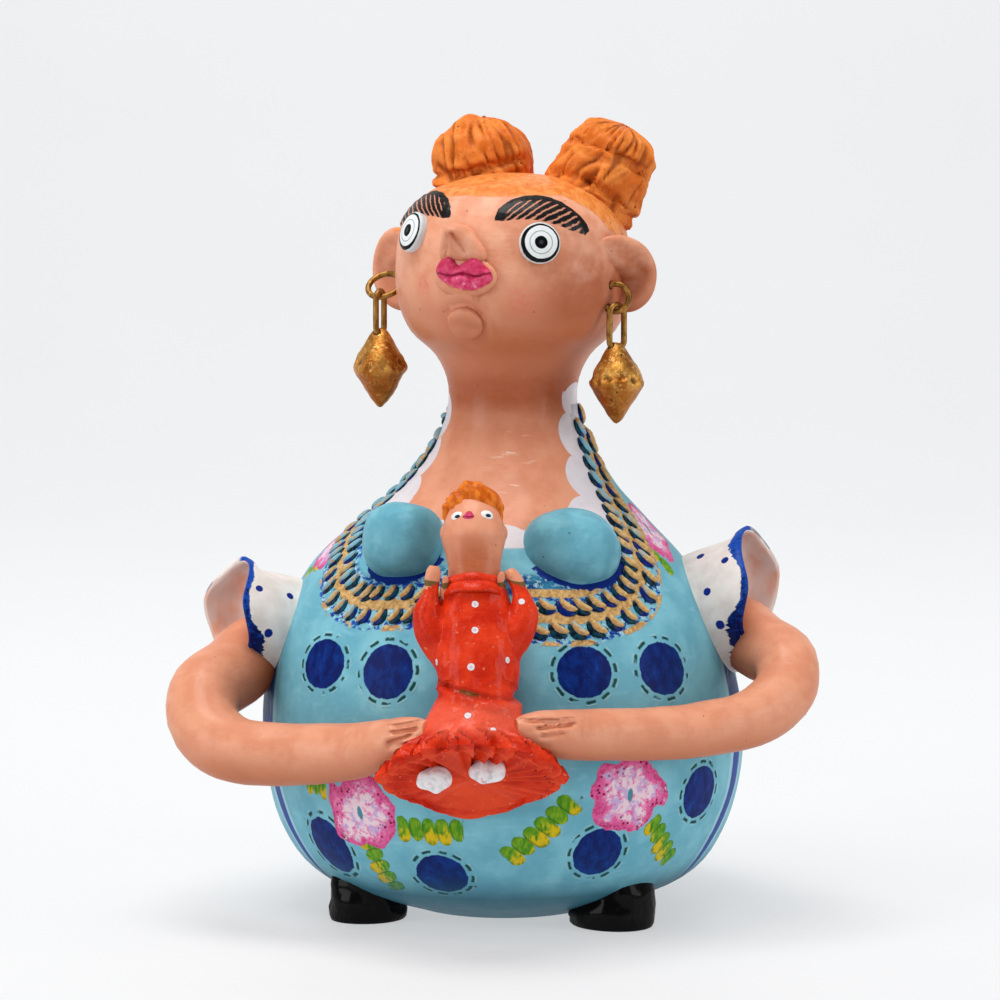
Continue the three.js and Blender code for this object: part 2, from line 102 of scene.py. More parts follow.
def spline(points, steps):
    """The uniform spline that the part's outline is drawn with."""
    points = np.array(points, float)
    last = len(points) - 1
    place = np.linspace(0, last, steps)
    k = np.minimum(place.astype(int), last - 1)
    t = (place - k)[:, None]
    before, start, end, after = (points[np.clip(k + step, 0, last)] for step in (-1, 0, 1, 2))
    v0, v1 = (end - before) / 2, (after - start) / 2
    cubic = 2 * start - 2 * end + v0 + v1
    square = 3 * end - 3 * start - 2 * v0 - v1
    return cubic * t**3 + square * t**2 + v0 * t + start


WALL = spline(OUTLINE, 1200)
WALL_LENGTH = np.concatenate([[0], np.cumsum(np.hypot(*np.diff(WALL, axis=0).T))])


def wall_radius(z):
    return np.interp(z, WALL[:, 1], WALL[:, 0])


def wall_length(z):
    """How far up the wall a height lies, measured along the wall."""
    return np.interp(z, WALL[:, 1], WALL_LENGTH)


def shift_at(z):
    return BELLY_SHIFT * (1 - rise(z, 30, 70)) + HEAD_SHIFT * rise(z, 84, 118)


def skin_point(azimuth, z):
    """A point of the bare body; azimuth in degrees from the front, towards +X."""
    turn = np.radians(azimuth)
    radius = wall_radius(z)
    return np.stack([np.sin(turn) * radius + shift_at(z), -np.cos(turn) * radius, z + 0 * radius], -1)


def heading(azimuth):
    return Vector((math.sin(math.radians(azimuth)), -math.cos(math.radians(azimuth)), 0))


def axes_at(at, x, y, z):
    """Stands at a point, its axes along three directions."""
    place = Matrix((x, y, z)).transposed().to_4x4()
    place.translation = Vector(at)
    return place


def placed(at, outward, tilt=0.0):
    """Stands at a point, its Z axis along outward and its Y axis as near up as it can be."""
    z = Vector(outward).normalized()
    x = UP.cross(z).normalized()
    return axes_at(at, x, z.cross(x), z) @ Matrix.Rotation(math.radians(tilt), 4, "Z")


# X to the right and Y up, as the photograph shows them
FRONT = placed((0, 0, 0), (0, -1, 0))


def local_to(place, co):
    """Points as a place has them, along its own axes."""
    return (co - np.array(place.translation)) @ np.array(place.to_3x3())


def away_from(co, at):
    return np.linalg.norm(co - np.array(at, float), axis=1)


def on_skin(azimuth, z, lift=0.0, tilt=0.0):
    step = 0.5
    sideways = Vector(skin_point(azimuth + step, z) - skin_point(azimuth - step, z))
    upwards = Vector(skin_point(azimuth, z + step) - skin_point(azimuth, z - step))
    outward = sideways.cross(upwards).normalized()
    return placed(Vector(skin_point(azimuth, z)) + outward * lift, outward, tilt)


def smooth_line(points, shares):
    """Places and directions at shares of the length of a smooth line through points."""
    given = np.array(points, float)[:, :3]
    given = np.vstack([2 * given[0] - given[1], given, 2 * given[-1] - given[-2]])
    fine = []
    for i in range(1, len(given) - 2):
        p0, p1, p2, p3 = given[i - 1:i + 3]
        t0 = 0.0
        t1 = t0 + np.linalg.norm(p1 - p0) ** 0.5
        t2 = t1 + np.linalg.norm(p2 - p1) ** 0.5
        t3 = t2 + np.linalg.norm(p3 - p2) ** 0.5
        for t in np.linspace(t1, t2, 24, endpoint=i == len(given) - 3):
            a1 = p0 + (p1 - p0) * (t - t0) / (t1 - t0)
            a2 = p1 + (p2 - p1) * (t - t1) / (t2 - t1)
            a3 = p2 + (p3 - p2) * (t - t2) / (t3 - t2)
            b1 = a1 + (a2 - a1) * (t - t0) / (t2 - t0)
            b2 = a2 + (a3 - a2) * (t - t1) / (t3 - t1)
            fine.append(b1 + (b2 - b1) * (t - t1) / (t2 - t1))
    fine = np.array(fine)
    lengths = np.concatenate([[0], np.cumsum(np.linalg.norm(np.diff(fine, axis=0), axis=1))])
    wanted = np.asarray(shares) * lengths[-1]

    def places(run):
        return np.stack([np.interp(run, lengths, fine[:, k]) for k in range(3)], -1)

    directions = places(wanted + 0.3) - places(wanted - 0.3)
    return places(wanted), directions / np.linalg.norm(directions, axis=1)[:, None]


# The camera stands where the photograph was taken, and the light is a soft studio tent

CAMERA_AT = (0, -0.9, 0.185)
CAMERA_DOWN = 5.3
LENS = 129.6
SENSOR = 36
MIDDLE = (0, 0, 0.1)
TENT_COLOUR = (0.93, 0.96, 1.0, 1)
TENT_STRENGTH = 0.2
# Name, place, what it is aimed at, width and height, watts and colour
LIGHTS = [
    ("top_box", (-0.12, -0.16, 1.05), MIDDLE, (0.7, 0.5), 7.6, (1.0, 0.99, 0.97)),
    ("left_box", (-1.0, -0.5, 0.42), MIDDLE, (0.5, 0.7), 4.2, (1, 1, 1)),
    ("right_box", (1.0, -0.45, 0.4), MIDDLE, (0.5, 0.7), 3.6, (1, 1, 1)),
    ("front_box", (-0.2, -1.3, 0.75), MIDDLE, (0.5, 0.4), 0.9, (1, 1, 1)),
    ("backdrop_box", (0, 0.35, 1.1), (0, 1.7, 0.35), (1.6, 0.3), 8.0, (1, 1, 1)),
]


def stand_camera():
    data = bpy.data.cameras.new("camera")
    data.sensor_width = SENSOR
    data.lens = LENS
    data.clip_start = 0.05
    camera = bpy.data.objects.new("camera", data)
    camera.location = CAMERA_AT
    camera.rotation_euler = (math.radians(90 - CAMERA_DOWN), 0, 0)
    bpy.context.collection.objects.link(camera)
    bpy.context.scene.camera = camera


def area_light(name, at, towards, size, watts, colour):
    data = bpy.data.lights.new(name, "AREA")
    data.shape = "RECTANGLE"
    data.size, data.size_y = size
    data.energy = watts
    data.color = colour
    light = bpy.data.objects.new(name, data)
    light.location = at
    light.rotation_euler = (Vector(towards) - Vector(at)).to_track_quat("-Z", "Y").to_euler()
    bpy.context.collection.objects.link(light)


def light_studio():
    world = bpy.data.worlds.new("studio")
    world.use_nodes = True
    background = world.node_tree.nodes["Background"]
    background.inputs["Color"].default_value = TENT_COLOUR
    background.inputs["Strength"].default_value = TENT_STRENGTH
    bpy.context.scene.world = world
    for light in LIGHTS:
        area_light(*light)
    bpy.context.scene.view_settings.view_transform = "Standard"


# Shaping clay


def put_down():
    """Nothing selected, nothing open."""
    if bpy.context.object and bpy.context.object.mode != "OBJECT":
        bpy.ops.object.mode_set(mode="OBJECT")
    bpy.ops.object.select_all(action="DESELECT")


def pick_up(piece):
    put_down()
    piece.select_set(True)
    bpy.context.view_layer.objects.active = piece


def numbers_of(piece, name):
    """Three numbers of each point of a piece."""
    out = np.empty(len(piece.data.vertices) * 3)
    piece.data.vertices.foreach_get(name, out)
    return out.reshape(-1, 3)


def points_of(piece):
    return numbers_of(piece, "co")


def normals_of(piece):
    return numbers_of(piece, "normal")


def set_points(piece, co):
    piece.data.vertices.foreach_set("co", np.ascontiguousarray(co, dtype=float).ravel())
    piece.data.update()


def push_out(piece, push):
    """Moves each point outwards by its own number of millimetres."""
    set_points(piece, points_of(piece) + normals_of(piece) * push[:, None])


def face_outwards(piece):
    pick_up(piece)
    bpy.ops.object.mode_set(mode="EDIT")
    bpy.ops.mesh.select_all(action="SELECT")
    bpy.ops.mesh.normals_make_consistent(inside=False)
    bpy.ops.object.mode_set(mode="OBJECT")


def built_up(name, sides, rings, swell=None):
    """A closed wall of clay raised ring by ring: each ring is its middle, its two directions and
    its two radii. swell(share, angle) widens or narrows it here and there."""
    rows = len(rings) - 1
    put_down()
    bpy.ops.mesh.primitive_cylinder_add(
        vertices=sides, radius=1, depth=rows, end_fill_type="TRIFAN", location=(0, 0, rows / 2))
    piece = bpy.context.object
    piece.name = piece.data.name = name
    bpy.ops.object.transform_apply(location=True, rotation=True, scale=True)
    bpy.ops.object.mode_set(mode="EDIT")
    bpy.ops.mesh.select_mode(type="EDGE")
    bpy.ops.mesh.select_all(action="DESELECT")
    mesh = bmesh.from_edit_mesh(piece.data)
    for edge in mesh.edges:
        edge.select_set(abs(edge.verts[0].co.z - edge.verts[1].co.z) > 0.5)
    bmesh.update_edit_mesh(piece.data)
    if rows > 1:
        bpy.ops.mesh.subdivide(number_cuts=rows - 1)
    bpy.ops.object.mode_set(mode="OBJECT")
    co = points_of(piece)
    row = np.clip(np.rint(co[:, 2]).astype(int), 0, rows)
    angle = np.arctan2(co[:, 1], co[:, 0])
    reach = np.minimum(1, np.hypot(co[:, 0], co[:, 1]))[:, None]
    middle, across, up = (np.array([tuple(ring[k]) for ring in rings], float) for k in range(3))
    wide, high = (np.array([ring[k] for ring in rings], float)[row][:, None] for k in (3, 4))
    size = swell(row / rows, angle)[:, None] if swell else 1.0
    round_ = across[row] * wide * np.cos(angle)[:, None] + up[row] * high * np.sin(angle)[:, None]
    set_points(piece, middle[row] + reach * size * round_)
    face_outwards(piece)
    return piece


def rolled(name, points, radius_at, shares, sides, swell=None):
    """A limb rolled along a smooth line, its radius given by the share of its length."""
    places, directions = smooth_line(points, shares)
    side = Vector(directions[0]).orthogonal().normalized()
    rings = []
    for share, at, along in zip(shares, places, directions):
        along = Vector(along)
        side = (side - along * side.dot(along)).normalized()
        radius = radius_at(share)
        rings.append((at, side, along.cross(side), radius, radius))
    return built_up(name, sides, rings, swell)


def pebble(name, half_sizes, place, sides=32, rows=16):
    """A pressed ball of clay."""
    put_down()
    bpy.ops.mesh.primitive_uv_sphere_add(
        segments=sides, ring_count=rows, radius=1, location=place.translation,
        rotation=place.to_euler(), scale=half_sizes)
    piece = bpy.context.object
    piece.name = piece.data.name = name
    bpy.ops.object.transform_apply(location=True, rotation=True, scale=True)
    return piece


def turned(name, outline, sides, place):
    """A round piece turned about its own axis, from radius and height pairs, bottom to top."""
    turn = place.to_3x3()
    across, up, axis = turn.col[0], turn.col[1], turn.col[2]
    rings = [
        (place.translation + axis * height, across.normalized(), up.normalized(),
         max(radius, 0.02) * across.length, max(radius, 0.02) * up.length)
        for radius, height in outline
    ]
    return built_up(name, sides, rings)


def roughness_at(co, size, seed=0.0):
    """Smooth chance between -1 and 1 at every point, with lumps of about that size."""
    spot = Vector((seed * 7.3, seed * 3.1, seed * 5.7))
    return np.array([noise.noise(Vector(p) / size + spot) for p in co])


def lumpy(piece, depth, size, seed=0.0):
    """The slight unevenness that fingers leave."""
    push_out(piece, depth * roughness_at(points_of(piece), size, seed))


def pressed_line(piece, start, end, width, depth, ease=0.25):
    """A groove pressed into the surface from start to end, or a ridge where depth is negative."""
    co = points_of(piece)
    start, end = np.array(start, float), np.array(end, float)
    along = end - start
    share = (co - start) @ along / (along @ along)
    away = np.linalg.norm(co - (start + np.clip(share, 0, 1)[:, None] * along), axis=1)
    ends = rise(share, -0.02, ease) * (1 - rise(share, 1 - ease, 1.02))
    push_out(piece, -depth * bell(away, width) * ends)


def pressed_dot(piece, at, radius, depth):
    """A dent."""
    push_out(piece, -depth * bell(away_from(points_of(piece), at), radius))


# Finishes come in this order on every piece of the fired clay
FINISHES = [
    "dress_paint", "skin_paint", "bun_paint", "eye_paint", "lip_paint", "sleeve_paint",
    "red_dress_paint", "scale_gold", "scale_shadow", "shoe_paint", "child_hair_paint", "white_paint",
    "child_eye_paint", "breast_paint",
]
FINISH_SLOTS = {name: bpy.data.materials.new(name) for name in FINISHES}


def painted(piece, finish):
    """Gives a piece of clay the whole row of finishes and paints it all over with one."""
    for name in FINISHES:
        piece.data.materials.append(FINISH_SLOTS[name])
    piece.data.polygons.foreach_set("material_index", [FINISHES.index(finish)] * len(piece.data.polygons))
    return piece


def one_mesh(pieces):
    """Pieces that don't touch each other, gathered into one object."""
    put_down()
    for piece in pieces:
        piece.select_set(True)
    bpy.context.view_layer.objects.active = pieces[0]
    if len(pieces) > 1:
        bpy.ops.object.join()
    return pieces[0]


def combined(body, other, operation):
    modifier = body.modifiers.new("combined", "BOOLEAN")
    modifier.operation = operation
    modifier.solver = "MANIFOLD"
    modifier.object = other
    pick_up(body)
    bpy.ops.object.modifier_apply(modifier=modifier.name)
    bpy.data.objects.remove(other)


def pressed_on(body, pieces):
    """Joins pieces to the body as one solid."""
    combined(body, one_mesh(pieces), "UNION")


def cut_from(body, cutter):
    combined(body, cutter, "DIFFERENCE")


# The woman's body: globe, shoulders, neck and head in one wall

BODY_SIDES = 176
BELLY_TOP = 104
CROWN = [(7.5, 182.95), (3.8, 183.3), (0.05, CROWN_Z)]
CHIN_AZIMUTH, CHIN_Z = FACE_AZIMUTH - 1.9, 146.9


def make_body():
    """The wall, with the brows laid on it and a fold of skin round the chin."""
    belly_end = wall_length(BELLY_TOP)
    stations = np.concatenate([
        np.linspace(0, belly_end, 50)[:-1],
        np.linspace(belly_end, WALL_LENGTH[-1], 46),
    ])
    radii = np.interp(stations, WALL_LENGTH, WALL[:, 0])
    heights = np.interp(stations, WALL_LENGTH, WALL[:, 1])
    back = Vector((0, 1, 0))
    rings = [
        (Vector((float(shift_at(z)), 0, z)), ACROSS, back, r, r)
        for r, z in list(zip(radii, heights)) + CROWN
    ]
    body = built_up("figurine", BODY_SIDES, rings)
    co = points_of(body)
    sway = 0.35 * roughness_at(co, 26, 1) * rise(co[:, 2], 4, 18)
    along, above, below = brow_place(co)
    inside = rise(above, -0.9, 0.4) * rise(below, -0.9, 0.4) * rise(1.02 - np.abs(along), 0, 0.05)
    push_out(body, sway + 0.85 * inside)
    local = local_to(on_skin(CHIN_AZIMUTH, CHIN_Z), points_of(body))
    away = np.hypot(local[:, 0], local[:, 1])
    above = rise(local[:, 1] + 0.5 * local[:, 0], -3, 5)
    ridge = 1.1 * above * bell(away - 7.0, 1.4) - 0.3 * bell(away - 5.4, 0.9)
    push_out(body, ridge * (np.abs(local[:, 2]) < 6))
    return painted(body, "dress_paint")


# The brows, by angle from the middle of the face and height: their upper and lower edges
BROW_TURN, BROW_MIDDLE, BROW_HALF = -22.6, 38.2, 25.4
BROW_TOP = [
    (12.5, 172.2), (13.5, 174.2), (16.5, 175.6), (21.6, 177), (29, 177.8), (37, 178), (44.6, 177.5),
    (51.2, 176.3), (57, 174.3), (60, 172.4), (63.5, 169.6),
]
BROW_LOW = [
    (12.5, 172.0), (17, 171.8), (23.3, 172.2), (31, 172.2), (39, 171.7), (46.6, 170.5), (54.5, 169),
    (59, 168.3), (63.5, 169.4),
]


def brow_place(co):
    """Share along a brow, -1 next to the nose and 1 outside, and millimetres inside its two edges."""
    azimuth = np.degrees(np.arctan2(co[:, 0] - HEAD_SHIFT, -co[:, 1]))
    turn = (azimuth - BROW_TURN + 180) % 360 - 180
    away, z = np.abs(turn), co[:, 2]
    raised = np.where(turn < 0, 0.6 + 1.2 * rise(away, 20, 60), 0.0)
    ride = wall_length(z)
    top, low = (wall_length(np.interp(away, *np.array(edge).T) + raised) for edge in (BROW_TOP, BROW_LOW))
    far = (z < 160) | (away > 80)
    along = np.where(far, FAR, (away - BROW_MIDDLE) / BROW_HALF)
    return along, np.where(far, -FAR, top - ride), np.where(far, -FAR, ride - low)


# Name, half sizes, place and a power below 1 that flattens the front
BREASTS = [
    ("left_breast", (10.2, 9.9, 10.3), placed((-23.2, -35, 94.6), (-0.35, -0.85, 0.3)), 0.74),
    ("right_breast", (12.2, 10.8, 11.3), placed((17, -35.2, 92.2), (0.3, -0.88, 0.3), -10), 1.0),
]


def make_breasts():
    breasts = []
    for name, half_sizes, place, power in BREASTS:
        piece = pebble(name, half_sizes, place, 48, 28)
        local = local_to(place, points_of(piece)) / np.array(half_sizes)
        narrower = 0.94 if power < 1 else 1
        local[:, :2] = np.sign(local[:, :2]) * np.abs(local[:, :2]) ** power * narrower
        turn = np.array(place.to_3x3())
        set_points(piece, (local * np.array(half_sizes)) @ turn.T + np.array(place.translation))
        lumpy(piece, 0.45, 7, 2 + len(breasts))
        breasts.append(painted(piece, "breast_paint"))
    return breasts


SHOE = (8.8, 10.2, 12.8)
SHOE_OUTLINE = [
    (0.6, 0), (0.98, 0.01), (1.02, 0.08), (1.03, 0.25), (1.02, 0.4), (1.0, 0.55), (0.98, 0.7),
    (0.95, 0.82), (0.88, 0.92), (0.72, 0.98), (0.4, 1.0), (0.05, 1.0),
]
# Name, place, turn, size and how far inwards the low part begins
SHOES = [
    ("left_shoe", (-32.6, -23.4, 0), -62, 0.94, -3),
    ("right_shoe", (27.4, -30.6, 0), 40, 1.08, 3),
]


def make_shoes():
    shoes = []
    for name, at, azimuth, size, edge in SHOES:
        place = Matrix.Translation(at) @ Matrix.Rotation(math.radians(azimuth), 4, "Z")
        outline = [(radius, height * SHOE[2]) for radius, height in SHOE_OUTLINE]
        shoe = turned(name, outline, 48, place @ Matrix.Diagonal((SHOE[0] * size, SHOE[1] * size, 1, 1)))
        co = points_of(shoe)
        push = 1.0 * roughness_at(co, 5.5, azimuth) + 0.4 * roughness_at(co, 1.8, azimuth)
        co += normals_of(shoe) * (push * rise(co[:, 2], 0.5, 4))[:, None]
        inward = (at[0] - co[:, 0]) * math.copysign(1, at[0])
        co[:, 2] *= 1 - 0.55 * rise(inward, edge, 10)
        set_points(shoe, co)
        shoes.append(painted(shoe, "shoe_paint"))
    return shoes


SLEEVES = {
    "right": dict(
        base=(49, -5, 73.4), base_radius=15.9, rim=(63.4, -9.5, 78.4), rim_radius=16.2,
        facing=(0.92, -0.4, -0.1), flares_from=0.15),
    "left": dict(
        base=(-50.5, -5, 69), base_radius=13.4, rim=(-66.8, -10.5, 73.2), rim_radius=13.9,
        facing=(-0.89, -0.43, -0.06), flares_from=0.5),
}
SLEEVE_WAVES = 4
SLEEVE_WAVE = 0.06
SLEEVE_WALL = 1.8
# How far each rim stands out on top, in front, behind and low in front
SLEEVE_RIMS = {"right": (-4.4, 2.9, 0.1, 2.0), "left": (-5.2, 1.3, 1.3, 0)}


def bump(angle, middle, width):
    """1 at one angle round a piece and softly 0 away from it, in degrees."""
    away = (np.degrees(angle) - middle + 180) % 360 - 180
    return bell(away, width)


def sleeve_axes(side):
    """Outwards, to the front and up at the rim."""
    outward = Vector(SLEEVES[side]["facing"]).normalized()
    front = UP.cross(outward).normalized()
    if front.y > 0:
        front = -front
    up = outward.cross(front)
    return outward, front, up if up.z > 0 else -up


def sleeve_wave(side, angle):
    """How far the ruffled rim stands out at an angle round the sleeve: 0 in front, 90 on top."""
    top, front, behind, low = SLEEVE_RIMS[side]
    wave = top * bump(angle, 88, 34) + front * bump(angle, 5, 30) + behind * bump(angle, 180, 50)
    wave = wave + low * bump(angle, -40, 26)
    return wave + 0.9 * bump(angle, -52, 20) - 0.8 * bump(angle, -88, 25) + 0.4 * np.sin(5 * angle)


def sleeve_rows(sleeve):
    """Share of the way to the rim, radius and millimetres back: out along the wall and in again."""
    wide, narrow = sleeve["rim_radius"], sleeve["base_radius"]
    inside = wide - SLEEVE_WALL
    rows = [(0, narrow * 0.8, 6), (0, narrow * 0.93, 3), (0, narrow, 0)]
    for share in np.linspace(0.08, 0.92, 12):
        flare = max(0.0, (share - sleeve["flares_from"]) / (1 - sleeve["flares_from"]))
        straight = narrow * (1 + 0.02 * min(1, share / 0.55))
        rows.append((share, straight + (wide - narrow * 1.02) * flare**0.8, 0))
    return rows + [
        (1, wide - 0.3, 0.5), (1, wide, 0), (1, wide - 0.35, -0.3), (1, wide - 0.9, -0.38),
        (1, inside + 0.2, -0.1), (1, inside, 0.5), (1, inside - 0.6, 2.5),
        (1, narrow - SLEEVE_WALL, 5.5), (1, narrow - 2 * SLEEVE_WALL, 8), (1, narrow * 0.4, 8.2),
    ]


def make_sleeve(side):
    sleeve = SLEEVES[side]
    base, rim = Vector(sleeve["base"]), Vector(sleeve["rim"])
    outward = Vector(sleeve["facing"]).normalized()
    start = Vector((math.copysign(1, base.x), 0, 0))
    rows = sleeve_rows(sleeve)
    rings = []
    for share, radius, back in rows:
        axis = start.lerp(outward, share).normalized()
        across = UP.cross(axis).normalized()
        middle = base.lerp(rim, share) - axis * back
        rings.append((middle, across, axis.cross(across), radius, radius))
    last = len(rows) - 1
    wavy = np.array([
        SLEEVE_WAVE if share > 0.98 and back < 4 else SLEEVE_WAVE * max(0, (share - 0.5) / 0.5) ** 2
        for share, _, back in rows
    ])

    def swell(share, angle):
        return 1 + wavy[np.rint(share * last).astype(int)] * np.cos(SLEEVE_WAVES * angle)

    piece = built_up(f"{side}_sleeve", 96, rings, swell)
    co = points_of(piece)
    axis, front, up = (np.array(direction) for direction in sleeve_axes(side))
    local = co - np.array(rim)
    height = local @ axis
    angle = np.arctan2(local @ up, local @ front)
    co += axis * (sleeve_wave(side, angle) * rise(height, -9, 0))[:, None]
    co -= up * (2.2 * bump(angle, -80, 35) * rise(height, -12, 0))[:, None]
    co += normals_of(piece) * (0.3 * roughness_at(co, 7, 4))[:, None]
    set_points(piece, co)
    return painted(piece, "sleeve_paint")


RIGHT_ARM = [
    (46, -4, 68, 8.6), (58.6, -8, 69.8, 8.8), (64.4, -17, 66.8, 8.3), (69.8, -25.5, 64.4, 7.7),
    (69.2, -34, 58.4, 7.4), (61.8, -42.5, 53.3, 6.9), (50.2, -49.5, 51.4, 6.5), (39.2, -54.5, 51, 6.3),
    (22.6, -62.5, 51.9, 6.1), (12.6, -69.5, 53.1, 5.8), (3.0, -74.5, 55, 4.5),
]
LEFT_ARM = [
    (-48, -4, 66, 8.8), (-60, -8, 64.6, 9.1), (-66, -17, 60.4, 9.1), (-72.3, -27, 56.3, 8.9),
    (-71.4, -35.5, 49.5, 8.5), (-64.2, -43, 45.4, 8), (-54.4, -48.5, 45, 7.6), (-45.1, -51.5, 45.6, 7.2),
    (-34.8, -58, 47.3, 6.6), (-25.6, -67.6, 50.6, 5.9), (-16.4, -74, 54.4, 4.5),
]


def make_arm(name, points, seed):
    radii = [p[3] for p in points]

    def radius_at(share):
        radius = np.interp(share * (len(radii) - 1), range(len(radii)), radii)
        tip = min(1, (1.015 - share) / 0.08)
        return radius * math.sqrt(1 - (1 - tip) ** 2)

    shares = np.concatenate([np.linspace(0, 0.78, 50)[:-1], np.linspace(0.78, 1, 64)])
    arm = rolled(name, points, radius_at, shares, 72)
    lumpy(arm, 0.28, 11, seed)
    lumpy(arm, 0.12, 3.2, seed + 1)
    scored(arm, FRONT, HAND_LINES[name])
    return painted(arm, "skin_paint")


# Every scored line with its width, for the painted shade along it
CREASES = []


def top_of(co, place, u, v):
    """The outermost of some points over a spot of a flat place."""
    local = local_to(place, co)
    near = np.hypot(local[:, 0] - u, local[:, 1] - v)
    height = local[near < near.min() + 0.5, 2].max()
    return np.array(place.to_3x3()) @ np.array([u, v, height]) + np.array(place.translation)


def near_path(co, path):
    """Distance from each point to a bent line and the share of the line that lies before it."""
    best = np.full(len(co), 1e9)
    share = np.zeros(len(co))
    for k, (start, end) in enumerate(zip(path, path[1:])):
        along = end - start
        t = np.clip((co - start) @ along / (along @ along), 0, 1)
        away = np.linalg.norm(co - (start + t[:, None] * along), axis=1)
        closer = away < best
        best[closer] = away[closer]
        share[closer] = (k + t[closer]) / (len(path) - 1)
    return best, share


def scored(piece, place, lines):
    """Presses lines into the front of a piece and notes them, so that painted shade can darken them."""
    co = points_of(piece)
    push = np.zeros(len(co))
    for start, end, width, depth in lines:
        spots = np.linspace(start, end, 9)
        bent = [top_of(co, place, u, v) for u, v in spots]
        away, share = near_path(co, bent)
        push += depth * bell(away, width) * rise(share, 0, 0.2) * (1 - rise(share, 0.8, 1))
        inwards = np.array(place.to_3x3())[:, 2] * depth * 0.7
        CREASES.append(([spot - inwards for spot in bent], width * min(1, depth)))
    push_out(piece, -push)


# Slits that part the fingers and two creases across each wrist: start, end, width and depth
HAND_LINES = {
    "left_arm": [
        ((-26.0, 55.6), (-17.6, 57.4), 0.62, 1.5), ((-26.6, 54.1), (-18.2, 55.9), 0.66, 1.6),
        ((-27.2, 51.4), (-19.6, 54.4), 0.62, 1.4), ((-27.0, 50.6), (-21.0, 51.9), 0.62, 0.8),
        ((-34.2, 54.6), (-34.0, 50.2), 0.55, 0.5), ((-31.4, 55.6), (-31.0, 51.2), 0.5, 0.45),
    ],
    "right_arm": [
        ((4.8, 57.6), (17.2, 57.2), 0.62, 1.4), ((7.4, 55.6), (18.8, 56.2), 0.66, 1.6),
        ((10.8, 56.6), (14.0, 56.6), 0.8, 0.9), ((8.8, 53.6), (15.6, 54.2), 0.62, 0.9),
        ((19.8, 57.4), (20.0, 52.2), 0.55, 0.5), ((21.6, 57.4), (21.8, 52.8), 0.5, 0.45),
    ],
}


# Head: buns, ears, eyes, nose, mouth and chin

BUNS = {
    "left": dict(
        at=(-4.4, 13, 186.6), axis=(0.02, 0.08, 1), radius=12.7, twist=0.35, seed=5, cap=0.75,
        hang=0.0, crease=-0.42),
    "right": dict(
        at=(26.0, 2, 184.2), axis=(0.42, -0.05, 0.9), radius=13.4, twist=-0.3, seed=9, cap=0.3,
        hang=0.4, crease=-0.66),
}
BUN_OUTLINES = {
    "left": [
        (0.62, -1), (0.86, -0.62), (0.97, -0.32), (1.0, 0.02), (0.93, 0.28), (0.78, 0.5),
        (0.56, 0.7), (0.3, 0.8), (0.02, 0.83),
    ],
    "right": [
        (0.7, -0.95), (0.93, -0.6), (0.92, -0.3), (0.89, 0), (0.86, 0.18), (0.84, 0.34),
        (0.78, 0.52), (0.66, 0.7), (0.42, 0.84), (0.02, 0.92),
    ],
}
BUN_STRANDS = 15
BUN_PITS = 34
# Where one coil of hair lies on the next, as seen from the front
BUN_FOLDS = {
    "left": [((-16, 181.4), (8.5, 187.6), 1.1, 1.7)],
    "right": [
        ((11, 184.4), (25.5, 180.8), 1.1, 1.5), ((20, 183), (34.2, 172.2), 1.1, 1.5),
        ((16, 192.4), (29.5, 188.9), 1.0, 1.5), ((25, 190.6), (38.4, 181.4), 1.0, 1.5),
    ],
}


def bun_frame(side):
    axis = Vector(BUNS[side]["axis"]).normalized()
    across = Vector((0, 1, 0)).cross(axis).normalized()
    return axis, across, axis.cross(across)


def bun_strands(side, co):
    """Height and angle at points of a bun and how deep the comb has gone there."""
    bun = BUNS[side]
    axis, across, depth = (np.array(direction) for direction in bun_frame(side))
    local = co - np.array(bun["at"])
    height = local @ axis / bun["radius"]
    angle = np.arctan2(local @ depth, local @ across)
    lean = angle + bun["twist"] * height
    strands = np.stack([np.cos(lean) * 9, np.sin(lean) * 9, height * 3.4], -1)
    phase = lean * BUN_STRANDS / math.tau + 1.3 * roughness_at(strands, 3.0, bun["seed"])
    broken = 0.25 + 0.75 * rise(roughness_at(strands, 2.6, bun["seed"] + 7), -0.25, 0.2)
    coarse = bell((phase % 1) - 0.5, 0.17) * broken
    fine = bell(((phase * 2) % 1) - 0.5, 0.22) * (1.1 - broken)
    return height, angle, np.clip(coarse + 0.45 * fine, 0, 1.2)


def make_bun(side):
    """Hair wound up to a bun: combed strands run up it, with folds, a crease and small pits."""
    bun = BUNS[side]
    radius, seed = bun["radius"], bun["seed"]
    axis, across, depth = bun_frame(side)
    rings = []
    for size, height in spline(BUN_OUTLINES[side], 60):
        size = max(0.02, size) * radius
        rings.append((Vector(bun["at"]) + axis * (height * radius), across, depth, size, size))
    piece = built_up(f"{side}_bun", 150, rings)
    co = points_of(piece)
    height, angle, comb = bun_strands(side, co)
    push = 0.4 - 1.15 * comb + 0.9 * roughness_at(co, 6, seed + 2) + 0.3 * roughness_at(co, 2.2, seed + 3)
    above = height - (bun["crease"] + 0.1 * np.sin(angle + seed) + 0.08 * roughness_at(co, 6, seed + 4))
    push -= 1.3 * bell(above, 0.07)
    push += 0.8 * bell(above + 0.16, 0.08)
    above = height - (bun["cap"] + 0.1 * np.sin(2 * angle + seed) + 0.1 * roughness_at(co, 5, seed + 5))
    push += bun["hang"] * (bell(above - 0.1, 0.12) - 1.3 * bell(above + 0.06, 0.07))
    push *= 1 - rise(height, 0.7, 0.95)
    push_out(piece, push)
    scored(piece, FRONT, BUN_FOLDS[side])
    chance = random.Random(seed)
    around = points_of(piece)
    for _ in range(BUN_PITS):
        pressed_dot(piece, around[chance.randrange(len(around))], 0.6, 0.5)
    return painted(piece, "bun_paint")


